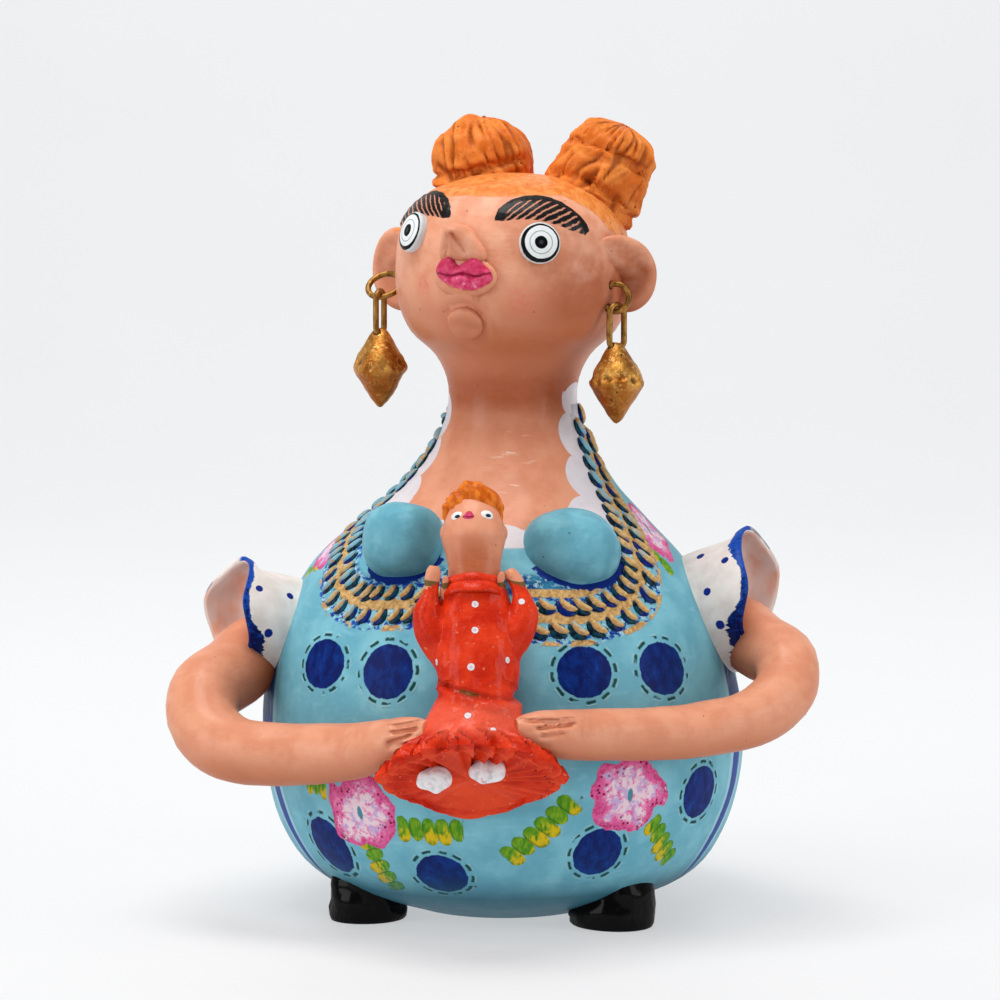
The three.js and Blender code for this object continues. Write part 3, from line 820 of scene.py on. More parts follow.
def make_knob():
    knob = pebble("bun_knob", (4.9, 4.6, 3.9), placed((-7.4, 9.6, 193.8), (-0.35, -0.5, 0.8)), 40, 20)
    lumpy(knob, 0.5, 4, 2)
    return painted(knob, "bun_paint")


EARS = {
    -1: dict(z=159.1, out=8.2, high=10.6, thick=2.6, set=30.6, turn=0.3),
    1: dict(z=158.6, out=8.0, high=9.6, thick=2.5, set=30.3, turn=0.72),
}


def make_ear(side):
    shape = EARS[side]
    wide, high = shape["out"], shape["high"]
    at = heading(FACE_AZIMUTH + 90 * side) * shape["set"] + Vector((HEAD_SHIFT, 0, shape["z"]))
    front = placed(at, heading(FACE_AZIMUTH))
    ear = pebble(f"ear_{side}", (wide, high, shape["thick"]), front, 56, 28)
    co = points_of(ear)
    local = local_to(front, co)
    reach = np.hypot((local[:, 0] - side * 0.4) / (wide * 0.9), (local[:, 1] - 0.3) / (high * 0.9))
    dish = 2.1 * (1 - rise(reach, 0.5, 1.0)) * (local[:, 2] > 0)
    twist = shape["turn"] * (wide - side * local[:, 0]) * rise(local[:, 1], -2.5, 4.5)
    co += np.array(front.to_3x3().col[2]) * (twist - dish)[:, None]
    set_points(ear, co)
    lumpy(ear, 0.18, 6, 3 + side)
    return painted(ear, "skin_paint")


EYE = dict(radius=5.05, spread=36, right_z=166.4, left_z=168.8)
EYE_PLACES = [
    on_skin(FACE_AZIMUTH + EYE["spread"], EYE["right_z"], 0.1),
    on_skin(FACE_AZIMUTH - EYE["spread"], EYE["left_z"], 0.1),
]
EYE_OUTLINE = [
    (0.8, -2.5), (0.98, -1.2), (1, 0.4), (0.99, 0.8), (0.95, 1.12), (0.86, 1.38), (0.62, 1.66),
    (0.3, 1.84), (0.01, 1.9),
]


def make_eyes():
    size = Matrix.Diagonal((EYE["radius"], EYE["radius"], 1, 1))
    return [painted(turned("eye", EYE_OUTLINE, 56, place @ size), "eye_paint") for place in EYE_PLACES]


# Height up the face, half width and how far the nose stands out there: its tip is high and looks up
NOSE = [
    (-4.4, 3.8, 0.4), (-4.0, 5.4, 1.1), (-3.2, 6.2, 1.9), (-1.8, 6.2, 3.0), (-0.2, 5.5, 4.1), (1.2, 4.8, 5.0),
    (2.4, 4.2, 5.5), (3.3, 3.6, 5.2), (4.0, 2.9, 4.3), (4.5, 2.0, 3.0), (4.8, 1.1, 1.6), (4.9, 0.3, 0.5),
]


def make_nose():
    """A cone that looks up, so that its flat underside with the nostrils faces the front."""
    place = on_skin(FACE_AZIMUTH - 2.7, 166.2)
    across, up, out = (Vector(place.to_3x3().col[k]) for k in range(3))
    rings = []
    for height, wide, deep in spline(NOSE, 34):
        middle = place.translation + up * height - out * 0.4 - across * (0.22 * height)
        rings.append((middle, across, out, wide, deep + 0.4))

    def swell(share, angle):
        low = 1 - rise(share, 0.5, 0.8)
        return 1 - 0.1 * (bump(angle, 55, 14) + bump(angle, 128, 14)) * low + 0.05 * bump(angle, 92, 12) * low

    nose = built_up("nose", 84, rings, swell)
    lumpy(nose, 0.15, 3, 6)
    scored(nose, place, [((-0.6, 2.2), (3.0, -3.0), 0.75, 1.35), ((-2.0, 1.6), (-3.4, -3.0), 0.8, 0.9)])
    return painted(nose, "skin_paint")


# Share of the width of the lips, and how far they reach up and down from the line between them
LIPS = [
    (0, 1.4, -0.2), (0.04, 2.4, -1.0), (0.1, 3.4, -1.8), (0.2, 4.1, -2.7), (0.3, 3.5, -3.3),
    (0.41, 2.4, -3.7), (0.5, 2.9, -3.9), (0.6, 3.8, -3.9), (0.69, 4.0, -3.7), (0.8, 3.1, -3.1),
    (0.9, 1.6, -2.4), (0.97, 0.4, -1.5), (1, -0.3, -0.9),
]
LIPS_WIDTH = 14.4
LIPS_START = -7.1
LIPS_Z = 159.0
FACE_RADIUS = 29


def make_mouth():
    """Lips with a dip in the upper one, on a slight swelling of the face."""
    middle = FACE_AZIMUTH + 0.2
    muzzle = painted(pebble("muzzle", (8.3, 5.0, 1.3), on_skin(middle, 158.2), 48, 20), "skin_paint")
    rings = []
    for share in np.linspace(0, 1, 53):
        x = LIPS_START + LIPS_WIDTH * share
        top, low = (np.interp(share, [row[0] for row in LIPS], [row[k] for row in LIPS]) for k in (1, 2))
        spot = on_skin(middle + math.degrees(x / FACE_RADIUS), LIPS_Z - 0.02 * x, 0.9)
        up, out = Vector(spot.to_3x3().col[1]), Vector(spot.to_3x3().col[2])
        high = max(0.05, (top - low) / 2)
        deep = max(0.05, 2.3 * (1 - abs(2 * share - 1) ** 3.4) ** 0.5)
        rings.append((spot.translation + up * ((top + low) / 2), up, out, high, deep))
    lips = built_up("lips", 64, rings)
    local = local_to(on_skin(middle, LIPS_Z, 0.7), points_of(lips))
    groove = 0.9 * bell(local[:, 1] + 0.35 - 0.25 * np.cos(local[:, 0] * 0.9), 0.5)
    groove += 0.5 * bell(local[:, 0] + 1.3, 0.9) * rise(local[:, 1], 0, 2)
    groove *= 1 - rise(np.abs(local[:, 0]), 4.6, 6.8)
    push_out(lips, -(groove * (local[:, 2] > -1)))
    lumpy(lips, 0.28, 1.8, 3)
    return muzzle, painted(lips, "lip_paint")


def make_chin():
    place = on_skin(CHIN_AZIMUTH, CHIN_Z)
    chin = pebble("chin", (4.6, 4.3, 2.7), place, 44, 24)
    co = points_of(chin)
    out = (co - np.array(place.translation)) @ np.array(place.to_3x3().col[2])
    flat = np.maximum(0, out - 0.9) * 0.6
    set_points(chin, co - np.outer(flat, np.array(place.to_3x3().col[2])))
    lumpy(chin, 0.25, 3, 7)
    return painted(chin, "skin_paint")


# The neckline: rows of scales, each a gold crescent that lies on its own dark edge

BAND_PATH = [
    (-181, 120.5), (-120, 120.5), (-96, 119.5), (-88.5, 113), (-84.5, 103), (-80, 96.6), (-71, 93),
    (-63, 90.4), (-58.5, 87), (-54.5, 84), (-49, 81.9), (-43, 80.4), (-37, 80), (-28, 80.8),
    (-18, 80.4), (-6, 79), (6, 78.2), (14.6, 78), (21, 77.7), (28, 78.3), (35, 79.8), (41, 82),
    (45.5, 85), (48.5, 88.6), (51.5, 92.4), (55, 96.5), (58.5, 100.5), (62, 105), (65.5, 110),
    (69, 114.6), (75, 118.6), (90, 120.5), (130, 120.5), (181, 120.5),
]
BAND_CURVE = spline(BAND_PATH, 800).T
ROW_SPREAD = 3.0
SCALE_PITCH = {-1: 3.95, 1: 4.55}
SCALE_SIZE = {-1: (0.8, 0.92), 1: (0.88, 1.12)}


def band_z(azimuth):
    return np.interp(azimuth, *BAND_CURVE)


def run_along(line):
    """The length run along a line of points, 0 at the middle of the line."""
    lengths = np.concatenate([[0], np.cumsum(np.linalg.norm(np.diff(line, axis=0), axis=1))])
    return lengths - lengths[-1] / 2


BAND_AZIMUTHS = np.linspace(-180, 180, 1441)
BAND_LINE = skin_point(BAND_AZIMUTHS, band_z(BAND_AZIMUTHS))
BAND_LENGTH = run_along(BAND_LINE)


def scale_blank(name, half_sizes, bow):
    """One crescent, thin at both ends and bowed."""
    put_down()
    bpy.ops.mesh.primitive_uv_sphere_add(segments=10, ring_count=7, radius=1)
    piece = bpy.context.object
    piece.name = name
    co = points_of(piece)[:, [2, 0, 1]] * np.array(half_sizes)
    co[:, 1] += bow * ((co[:, 0] / half_sizes[0]) ** 2 - 0.4)
    set_points(piece, co)
    face_outwards(piece)
    return piece


def scale_places():
    """Where each scale lies: X runs slantwise down and outwards, Y points at its hollow side."""
    half = BAND_LENGTH[-1]
    places = []
    for side in (-1, 1):
        count = int(half / SCALE_PITCH[side])
        for row in (-1, 1):
            for k in range(count):
                along = side * (k + 0.45 + 0.25 * row) * half / count
                azimuth = float(np.interp(along, BAND_LENGTH, BAND_AZIMUTHS))
                azimuth += CHANCE.uniform(-0.4, 0.4)
                mark = on_skin(azimuth, float(band_z(azimuth)))
                out = Vector(mark.to_3x3().col[2])
                ahead = Vector(skin_point(azimuth + 0.5, float(band_z(azimuth + 0.5)))) - mark.translation
                upper = out.cross(ahead).normalized()
                at = nearest_skin(mark.translation + upper * (row * ROW_SPREAD + CHANCE.uniform(-0.2, 0.2)))
                steep = 1.1 - 0.7 * float(rise(abs(azimuth), 25, 60)) if side < 0 else 0.58
                lie = Vector((side * 0.78, 0, -steep + CHANCE.uniform(-0.1, 0.1)))
                if abs(azimuth) > 90:
                    lie = ahead.normalized() * (0.85 * side) - upper * 0.5
                turn = math.degrees(math.atan2(at.x - float(shift_at(at.z)), -at.y))
                out = Vector(on_skin(turn, at.z).to_3x3().col[2])
                x = (lie - out * lie.dot(out)).normalized() * side
                place = axes_at(at, x, out.cross(x), out)
                size = CHANCE.uniform(0.92, 1.08)
                long, wide = SCALE_SIZE[side]
                places.append(place @ Matrix.Diagonal((size * long, size * wide, 1, 1)))
    return places


def nearest_skin(at):
    """The point of the bare body at the same height and in the same direction."""
    across = Vector((at.x - float(shift_at(at.z)), at.y, 0)).normalized() * float(wall_radius(at.z))
    return Vector((across.x + float(shift_at(at.z)), across.y, at.z))


def scales(name, blank, places, drop, lift):
    """Copies of one crescent, each with its own mesh."""
    copies = []
    for place in places:
        copy = blank.copy()
        copy.data = blank.data.copy()
        copy.data.transform(place @ Matrix.Translation((0, -drop, lift)))
        bpy.context.collection.objects.link(copy)
        copies.append(copy)
    bpy.data.objects.remove(blank)
    joined = one_mesh(copies)
    joined.name = name
    return joined


def make_scales():
    places = scale_places()
    dark = scales("scale_shadows", scale_blank("shadow", (3.1, 1.0, 0.5), 1.0), places, 0.85, 0.0)
    gold = scales("scales", scale_blank("scale", (2.9, 0.88, 1.05), 0.8), places, -0.3, 0.1)
    return painted(dark, "scale_shadow"), painted(gold, "scale_gold")


# The child

# Middle, half width, half depth, lean and depth of the pleats, from the underside to the neck
CHILD_SECTIONS = [
    ((-6.7, -71.9, 42.4), 17.8, 13.4, 39, 0), ((-6.7, -72.6, 41.6), 20.6, 15.8, 39, 0.01),
    ((-6.7, -72.8, 43.2), 21.2, 16.2, 38, 0.035), ((-6.5, -70.6, 49.5), 15.8, 11.8, 35, 0.02),
    ((-5.6, -68, 57), 10.8, 9.2, 30, 0), ((-5.2, -66, 63), 8.7, 7.6, 28, 0),
    ((-5.2, -65.8, 63.6), 9.3, 8.2, 28, 0), ((-5.4, -62.8, 71), 10.2, 8.4, 26, 0),
    ((-5.8, -59.4, 79.5), 9.2, 7.9, 26, 0), ((-6, -57.8, 84.6), 8.0, 7, 26, 0),
    ((-6, -57.2, 86.8), 6.6, 6.2, 26, 0),
]
SUB_ROWS = [3, 3, 10, 9, 8, 2, 9, 9, 6, 3]
WAIST_ROW = sum(SUB_ROWS[:5])
WAIST_Z = 62.6
PLEATS = 12
HEM_SECTION = CHILD_SECTIONS[2]
HEM_NOTCHES = 24


def leaning_back(lean):
    """Towards the back of the child at a lean in degrees."""
    return Vector((0, math.cos(math.radians(lean)), -math.sin(math.radians(lean))))


def above_waist(co):
    return co[:, 2] - WAIST_Z + 0.2 * (co[:, 0] + 6)


def child_dress_rows():
    """Rows between the sections, softened but for the hem and the waist."""
    rows = []
    for (here, there), steps in zip(zip(CHILD_SECTIONS, CHILD_SECTIONS[1:]), SUB_ROWS):
        for share in np.linspace(0, 1, steps, endpoint=False):
            at = Vector(here[0]).lerp(Vector(there[0]), share)
            rows.append([*at] + [a + (b - a) * share for a, b in zip(here[1:], there[1:])])
    rows.append([*CHILD_SECTIONS[-1][0], *CHILD_SECTIONS[-1][1:]])
    rows = np.array(rows)
    for _ in range(6):
        softer = rows.copy()
        softer[1:-1] = (rows[:-2] + 2 * rows[1:-1] + rows[2:]) / 4
        for k in (0, 3, 6, WAIST_ROW, WAIST_ROW + 2):
            softer[k] = rows[k]
        rows = softer
    return rows


def make_child_dress():
    rows = child_dress_rows()
    rings = [
        (Vector((x, y, z)), ACROSS, leaning_back(lean), across, deep)
        for x, y, z, across, deep, lean, _ in rows
    ]
    pleats = rows[:, 6]

    def swell(share, angle):
        depth = pleats[np.rint(share * (len(rows) - 1)).astype(int)]
        fold = np.abs(np.cos(PLEATS / 2 * angle + 0.5 * np.sin(3 * angle)))
        notch = 1.9 * fold**0.5 - 1.35
        corner = np.where(np.sin(angle) > 0, 0.16, 0.03) * np.sin(2 * angle) ** 2
        return (1 + depth * notch * 1.5) * (1 - corner * rise(depth, 0, 0.01))

    dress = built_up("child_dress", 220, rings, swell)
    co = points_of(dress)
    around, height = hem_place(co)
    tooth = hem_tooth(around, height)
    front = 1 - rise(np.sin(around), 0.25, 0.75)
    zone = rise(height, -1.5, 0) * (1 - rise(height, 3.8, 6.2)) * front * (co[:, 2] < 66)
    push = (3.0 * tooth**1.3 - 1.6) * zone
    push -= 0.9 * bell(above_waist(co) - 0.9, 0.7) - 0.7 * bell(above_waist(co) + 1.0, 0.8)
    push_out(dress, push)
    lumpy(dress, 0.4, 5.5, 8)
    lumpy(dress, 0.2, 2.2, 9)
    return painted(dress, "red_dress_paint")


def hem_place(co):
    """Angle round the hem of the child's skirt, from its right side over its lower side, and the height
    above the hem along the skirt."""
    middle, wide, deep, lean, _ = HEM_SECTION
    lean = math.radians(lean)
    back = np.array([0, math.cos(lean), -math.sin(lean)])
    upright = np.array([0, math.sin(lean), math.cos(lean)])
    local = co - np.array(Vector(middle))
    return np.arctan2(local @ back / deep, local[:, 0] / wide), local @ upright


def hem_tooth(around, height):
    """A saw-tooth round the hem: 1 at a fold's edge, falling to 0 before the next."""
    side = np.where(np.cos(around) > -0.15, 1, -1)
    turn = around * HEM_NOTCHES / math.tau + side * height * 0.16 + 0.12 * np.sin(5 * around)
    return (turn * side) % 1.0


CHILD_COLLAR = [
    (-0.2, 6.9, 6.6), (0.6, 7.5, 7.1), (1.2, 7.6, 7.2), (1.7, 7.3, 6.9), (2.2, 7.6, 7.3),
    (3.2, 8.1, 7.9), (4.2, 8.35, 8.2), (4.7, 8.1, 8.0), (4.6, 7.4, 7.2), (2.0, 6.6, 6.2),
]


def make_child_collar():
    """A flap that lies open round the child's neck."""
    top = Vector((-6.1, -57.0, 87.2))
    down = Vector((0, -0.42, -0.9))
    back = leaning_back(26)
    rings = [(top + down * drop, ACROSS, back, across, deep) for drop, across, deep in CHILD_COLLAR]
    collar = built_up("child_collar", 64, rings)
    co = points_of(collar)
    sag = 1.6 * bell(co[:, 0] - 1.5, 3.5) + 1.2 * bell(co[:, 0] + 11, 3)
    co[:, 2] -= sag * rise(86 - co[:, 2], 0, 4)
    set_points(collar, co)
    lumpy(collar, 0.35, 2.6, 4)
    return painted(collar, "red_dress_paint")


CHILD_HEAD_LINE = [
    (-6, -57.5, 84), (-6, -55.6, 90), (-6.2, -53, 96.5), (-6.3, -50.6, 102.5), (-6.3, -49, 107.6),
]
CHILD_HEAD_SHARES = [0, 0.28, 0.42, 0.54, 0.68, 0.8, 1]
CHILD_HEAD_RADII = [6.3, 6.2, 6.8, 7.5, 7.2, 6.7, 6.4]


def child_head_radius(share):
    jaw = np.interp(share, CHILD_HEAD_SHARES, CHILD_HEAD_RADII)
    top = min(1, (1.02 - share) / 0.3)
    return jaw * math.sqrt(1 - (1 - top) ** 2)


def make_child_head():
    head = rolled("child_head", CHILD_HEAD_LINE, child_head_radius, np.linspace(0, 1, 40), 48)
    pressed_line(head, (-10.5, -57.5, 98.5), (-2.5, -57.5, 98.5), 2.6, -0.6, 0.4)
    pressed_dot(head, (-6.5, -58.8, 94), 3, 0.35)
    lumpy(head, 0.15, 3, 5)
    lobes = [
        pebble("child_ear", (1.1, 1.8, 2.0), Matrix.Translation((-6.2 + 6.9 * side, -51.6, 98.4)), 20, 12)
        for side in (-1, 1)
    ]
    return painted(head, "skin_paint"), [painted(lobe, "skin_paint") for lobe in lobes]


# Name, half sizes, place, sides and rows, and how fine the comb is
CHILD_LOCKS = [
    ("child_hair", (5.9, 6.2, 5.2), placed((-6.3, -47.4, 104.5), (0.05, 0.5, 0.85)), 48, 24, 1.5),
    ("child_sweep", (5.7, 3.2, 2.6), placed((-4.5, -52.0, 107.2), (0.34, -0.7, 0.62), -36), 48, 20, 2.4),
    ("child_locks", (3.4, 2.8, 2.1), placed((-9.9, -52.0, 106.0), (-0.45, -0.7, 0.5), 38), 36, 18, 3.4),
    ("child_side", (1.3, 3.2, 2.4), placed((-1.2, -51.6, 103.6), (0.8, -0.5, 0.2), -8), 28, 14, 2.4),
    ("child_side", (1.2, 2.7, 2.3), placed((-11.8, -51.6, 103.6), (-0.8, -0.5, 0.2), 8), 28, 14, 2.4),
]


def make_child_hair():
    """A cap of hair, a broad sweep over the brow to the child's left and short locks on the right."""
    pieces = []
    for name, half_sizes, place, sides, rows, fine in CHILD_LOCKS:
        piece = pebble(name, half_sizes, place, sides, rows)
        co = points_of(piece)
        comb = np.sin((co[:, 0] * 0.75 + co[:, 2] * 0.75 + 0.8 * roughness_at(co, 4, 2)) * fine)
        push_out(piece, 0.2 * comb + 0.1 * roughness_at(co, 3.5, fine))
        pieces.append(painted(piece, "child_hair_paint"))
    return pieces


CHILD_EYES = [
    placed((-9.9, -56.4, 102.7), (-0.42, -0.86, 0.22), 12),
    placed((-3.2, -56.6, 103.0), (0.38, -0.88, 0.22), -8),
]
CHILD_EYE_RADIUS = 1.7


def make_child_face():
    eyes = [
        painted(pebble("child_eye", (CHILD_EYE_RADIUS, 1.3, 0.8), place, 24, 12), "child_eye_paint")
        for place in CHILD_EYES
    ]
    mouth = pebble("child_mouth", (1.9, 1.35, 1.2), placed((-7.2, -57.2, 102.9), (-0.05, -0.9, 0.42)), 28, 14)
    co = points_of(mouth)
    co[:, 0] += (co[:, 0] + 7.2) * -0.4 * rise(co[:, 2], 102.6, 103.8)
    set_points(mouth, co)
    return eyes + [painted(mouth, "lip_paint")]


# Where the cuff of each arm ends, how that edge slants and the line of the arm
CHILD_ARMS = [
    (87.0, 0.5, [
        (-10.6, -61.5, 67), (-14.6, -61.8, 74), (-16.8, -61.4, 79.5), (-16.2, -61.6, 85.5),
        (-15.4, -61.2, 91.6),
    ]),
    (87.2, -0.4, [
        (-0.4, -62, 68), (3.2, -62, 75.4), (5.4, -61.6, 80.6), (4.4, -60.8, 86.2), (2.0, -59.6, 90.6),
    ]),
]


def make_child_arms():
    def radius_at(share):
        tip = min(1, (1.02 - share) / 0.1)
        sleeve = 4.0 + 1.0 * math.exp(-((share - 0.38) / 0.16) ** 2) - 1.3 * share
        size = sleeve if share < 0.6 else max(1.75, sleeve - 3.6 * (share - 0.6) * 2)
        return size * math.sqrt(1 - (1 - tip) ** 2)

    arms = []
    skin = FINISHES.index("skin_paint")
    for cuff_z, slant, points in CHILD_ARMS:
        arm = rolled("child_arm", points, radius_at, np.linspace(0, 1, 44), 36)
        lumpy(arm, 0.25, 3, 2)
        painted(arm, "red_dress_paint")
        for face in arm.data.polygons:
            if face.center.z > cuff_z + slant * (face.center.x - points[-2][0]):
                face.material_index = skin
        arms.append(arm)
    for at, half in (((-13.0, -61.8, 86.6), 2.9), ((0.2, -61.6, 88.2), 2.3)):
        thumb = pebble("child_thumb", (0.85, 1.0, half), placed(at, (0.12, 0, 1)), 20, 12)
        arms.append(painted(thumb, "skin_paint"))
    return arms[:2], arms[2:]


def make_child_shoes():
    shoes = []
    for at, seed, tilt in ((Vector((-15.2, -78.4, 44.0)), 3, -4), (Vector((-2.9, -78.6, 46)), 4, 6)):
        shoe = pebble("child_shoe", (4.1, 2.5, 3.2), placed(at, (0, -0.62, -0.78), tilt), 40, 20)
        lumpy(shoe, 0.8, 3, seed)
        shoes.append(painted(shoe, "white_paint"))
    return shoes


# The whole figurine, pressed together piece by piece, its joins smoothed as with a wet finger

HOOPS = {
    "right": dict(at=(28.4, -17.6, 152.9), radius=3.4, facing=tuple(heading(-24))),
    "left": dict(at=(-29, 3.6, 155.2), radius=4.2, facing=(-0.25, -0.62, 0.74)),
}
HOOP_HOLE = WIRE_RADIUS + 0.3


def ring_of_wire(name, place, radius, wire, sides=16, steps=64):
    put_down()
    bpy.ops.mesh.primitive_torus_add(
        major_radius=radius, minor_radius=wire, major_segments=steps, minor_segments=sides,
        location=place.translation, rotation=place.to_euler())
    piece = bpy.context.object
    piece.name = piece.data.name = name
    bpy.ops.object.transform_apply(location=True, rotation=True, scale=True)
    return piece


CREASE_ANGLE = 20
PLAIN_FINISHES = ("dress_paint", "skin_paint", "sleeve_paint", "breast_paint")


def smoothed_along(body, wanted, wider, times):
    """Smooths the points of the creases that are wanted and a few rows beside them."""
    bpy.ops.mesh.select_all(action="DESELECT")
    mesh = bmesh.from_edit_mesh(body.data)
    for edge in mesh.edges:
        creased = len(edge.link_faces) == 2 and edge.calc_face_angle_signed(0) < -math.radians(CREASE_ANGLE)
        if creased and wanted(edge):
            edge.select_set(True)
    mesh.select_flush_mode()
    bmesh.update_edit_mesh(body.data)
    for _ in range(wider):
        bpy.ops.mesh.select_more()
    bpy.ops.mesh.vertices_smooth(factor=0.5, repeat=times)


def soften_joins(body):
    """Smooths the creases where clay of one colour meets clay of the same colour. What was scored, wound
    or pleated on purpose stays crisp."""
    plain = {FINISHES.index(name) for name in PLAIN_FINISHES}
    red = {FINISHES.index("red_dress_paint")}
    co = points_of(body)
    scored_here = np.zeros(len(co), bool)
    for bent, _ in CREASES:
        scored_here |= near_path(co, bent)[0] < 1.7
    pick_up(body)
    bpy.ops.object.mode_set(mode="EDIT")
    bpy.ops.mesh.select_mode(type="VERT")

    def colours(edge):
        return {face.material_index for vert in edge.verts for face in vert.link_faces}

    def plain_join(edge):
        around, start = colours(edge), edge.verts[0]
        return len(around) == 1 and around <= plain and start.co.z > 3 and not scored_here[start.index]

    def shoulder_join(edge):
        return colours(edge) == red and 66 < edge.verts[0].co.z < 84

    smoothed_along(body, plain_join, 0, 3)
    smoothed_along(body, shoulder_join, 3, 14)
    bpy.ops.object.mode_set(mode="OBJECT")


def make_figurine():
    body = make_body()
    muzzle, lips = make_mouth()
    child_head, child_ears = make_child_head()
    hair = make_child_hair()
    child_arms, child_thumbs = make_child_arms()
    dark, gold = make_scales()
    pressed_on(body, [dark])
    pressed_on(body, [gold])
    pressed_on(body, [*make_breasts(), *make_shoes(), make_sleeve("left"), make_sleeve("right"),
                      make_bun("left"), make_bun("right"), make_ear(-1), make_ear(1),
                      *make_eyes(), muzzle])
    pressed_on(body, [make_nose(), make_chin(), make_knob(), make_child_dress()])
    pressed_on(body, [lips, make_child_collar()])
    pressed_on(body, [child_head, *child_arms, *make_child_shoes()])
    left_arm, right_arm = make_arm("left_arm", LEFT_ARM, 11), make_arm("right_arm", RIGHT_ARM, 14)
    pressed_on(body, [left_arm, right_arm, *child_ears, hair[0]])
    pressed_on(body, [hair[1], *child_thumbs])
    pressed_on(body, [hair[2], hair[3]])
    pressed_on(body, [hair[4]])
    pressed_on(body, make_child_face())
    for hoop in HOOPS.values():
        hole = ring_of_wire("hole", placed(hoop["at"], hoop["facing"]), hoop["radius"], HOOP_HOLE, 12, 40)
        cut_from(body, painted(hole, "skin_paint"))
    soften_joins(body)
    return body


# What the brush needs to know at each point of the clay

# Angle and height of the middle, half width, half height and tilt
BIG_DOTS = {
    "dot_a": [
        (-48, 65.4, 7.3, 6.2, 0), (20.5, 65.5, 7.1, 6.4, 0), (-48.6, 20.6, 6.7, 8.0, 24),
        (23.3, 21.6, 6.5, 6.6, 20), (78, 54, 6.4, 6.6, 0), (-80, 50, 6.4, 6.6, 0),
        (128, 64, 6.6, 6.5, 0), (176, 66, 6.6, 6.5, 0), (-130, 64, 6.6, 6.5, 0),
        (98, 22, 6.6, 6.8, 0), (-160, 22, 6.6, 6.8, 0),
    ],
    "dot_b": [
        (-28, 65.3, 6.8, 6.8, 0), (42.8, 64.8, 7.5, 6.6, 0), (-16.2, 16.2, 6.6, 5.9, -14),
        (52.7, 33.6, 6.5, 6.7, -8), (104, 62, 6.6, 6.5, 0), (152, 66, 6.6, 6.5, 0),
        (-156, 66, 6.6, 6.5, 0), (-104, 60, 6.6, 6.5, 0), (150, 22, 6.6, 6.8, 0),
        (-104, 22, 6.6, 6.8, 0),
    ],
}
FLOWERS = [
    (-35.8, 30.7, 9.9, 9.6, 10), (30.1, 35.6, 10.6, 9.8, 0), (-79, 91.5, 7.6, 9.5, 30),
    (72, 95.5, 7.6, 10.5, -30), (124, 40, 9.5, 9.2, 0), (176, 40, 9.5, 9.2, 40),
    (-132, 40, 9.5, 9.2, 70), (125, 95, 6.2, 7, 0), (-125, 95, 6.2, 7, 0),
]
# Angle and height of the start and of the end, half height and number of dabs
LEAVES = [
    (-26.2, 27.6, -9.4, 27.6, 3.4, 5), (-35.4, 24.4, -31.0, 10.2, 3.0, 5),
    (0.6, 20.4, 16.4, 35.4, 3.5, 6), (36.4, 28.4, 47.6, 16.2, 3.1, 5),
    (-53.0, 36.0, -45.5, 35.4, 2.6, 3), (-84.5, 83.5, -74.2, 87.0, 1.8, 3),
    (-75.0, 88.0, -68.5, 92.5, 1.7, 3), (59.4, 92.5, 63.0, 85.2, 2.0, 2),
    (108, 32, 103, 44, 3.2, 4), (138, 28, 150, 40, 3.2, 5), (164, 32, 158, 46, 3.2, 4),
    (-118, 30, -112, 44, 3.2, 4), (-146, 30, -153, 44, 3.2, 4),
]
# Place and radius
SMALL_DOTS = [
    (49.8, -11, 88.5, 1.05), (55.4, -18.2, 88.3, 1.0), (50.9, -20.6, 80.8, 1.0),
    (54, -23.3, 72.9, 1.15), (57.5, 4, 90.5, 1.0), (49, 8, 84, 1.0), (56, 9, 68, 1.0),
    (-59.4, -18.2, 81.2, 0.95), (-52, -15, 79, 0.95), (-57, -21.6, 70.7, 1.1), (-55, 0, 83, 0.95),
    (-58, 6, 74, 0.95), (-56, 4, 60, 0.95), (-18.7, -63.5, 84.8, 0.8), (-5.8, -66.3, 83.3, 0.85),
    (-5.8, -69, 77.5, 0.85), (-14.7, -66, 69.6, 0.8), (-6.7, -72.2, 69.3, 0.9),
    (1.9, -69.1, 70.5, 0.8), (5.1, -63.6, 83.4, 0.85), (-7.4, -78, 58.7, 0.85),
    (-1.6, -79.5, 55.5, 0.8), (-13.6, -81.8, 53.5, 0.8), (3.9, -78.5, 52.7, 0.8),
]
# Heights of the lace's lower edge, of the hairline and of the side stripe, by angle or by height
LACE_EDGE = [
    (-180, 131), (-96, 130), (-81, 127), (-75, 121), (-70.5, 114), (-65.5, 108), (-60, 103.5),
    (-51, 101), (-41, 99.2), (-27, 97.5), (-18, 96.8), (6, 96.6), (17, 98), (25, 99), (34, 100.8),
    (40, 104.5), (41.5, 110), (44.5, 115), (48.5, 121), (56, 127), (80, 130), (180, 131),
]
HAIRLINE = [
    (0, 177.6), (56, 177.9), (72, 174.3), (81, 169.4), (89, 167.4), (100, 158), (118, 146), (180, 142),
]
STRIPE = [(0, 58), (10, 63), (24, 68), (32, 71.5), (40, 72.5), (60, 74), (80, 78)]
# Painted shade in hollows and undersides: place, size and amount
SHADES = [
    ((34, -17, 160), 6.5, 0.7), ((-57, -17, 60), 10, 1.0), ((56, -14, 66), 9, 0.9),
    ((-6.3, -61, 91), 6.6, 0.85), ((-6.3, -58.5, 95), 4, 0.25), ((27.8, -9.8, 157), 6, 0.7),
    ((-24.4, 10, 158), 6, 0.6), ((12, -22, 148), 13, 0.35), ((-8.6, -26, 147), 4.0, 0.3),
    ((46, -30, 58), 11, 0.5), ((-50, -24, 42), 9, 0.4), ((-12.5, -34, 146.5), 4.5, 0.5),
    ((-11.5, -36, 165), 4.2, 0.6), ((-63, -46, 38), 8, 0.6), ((21, -24, 155), 10, 0.9),
]
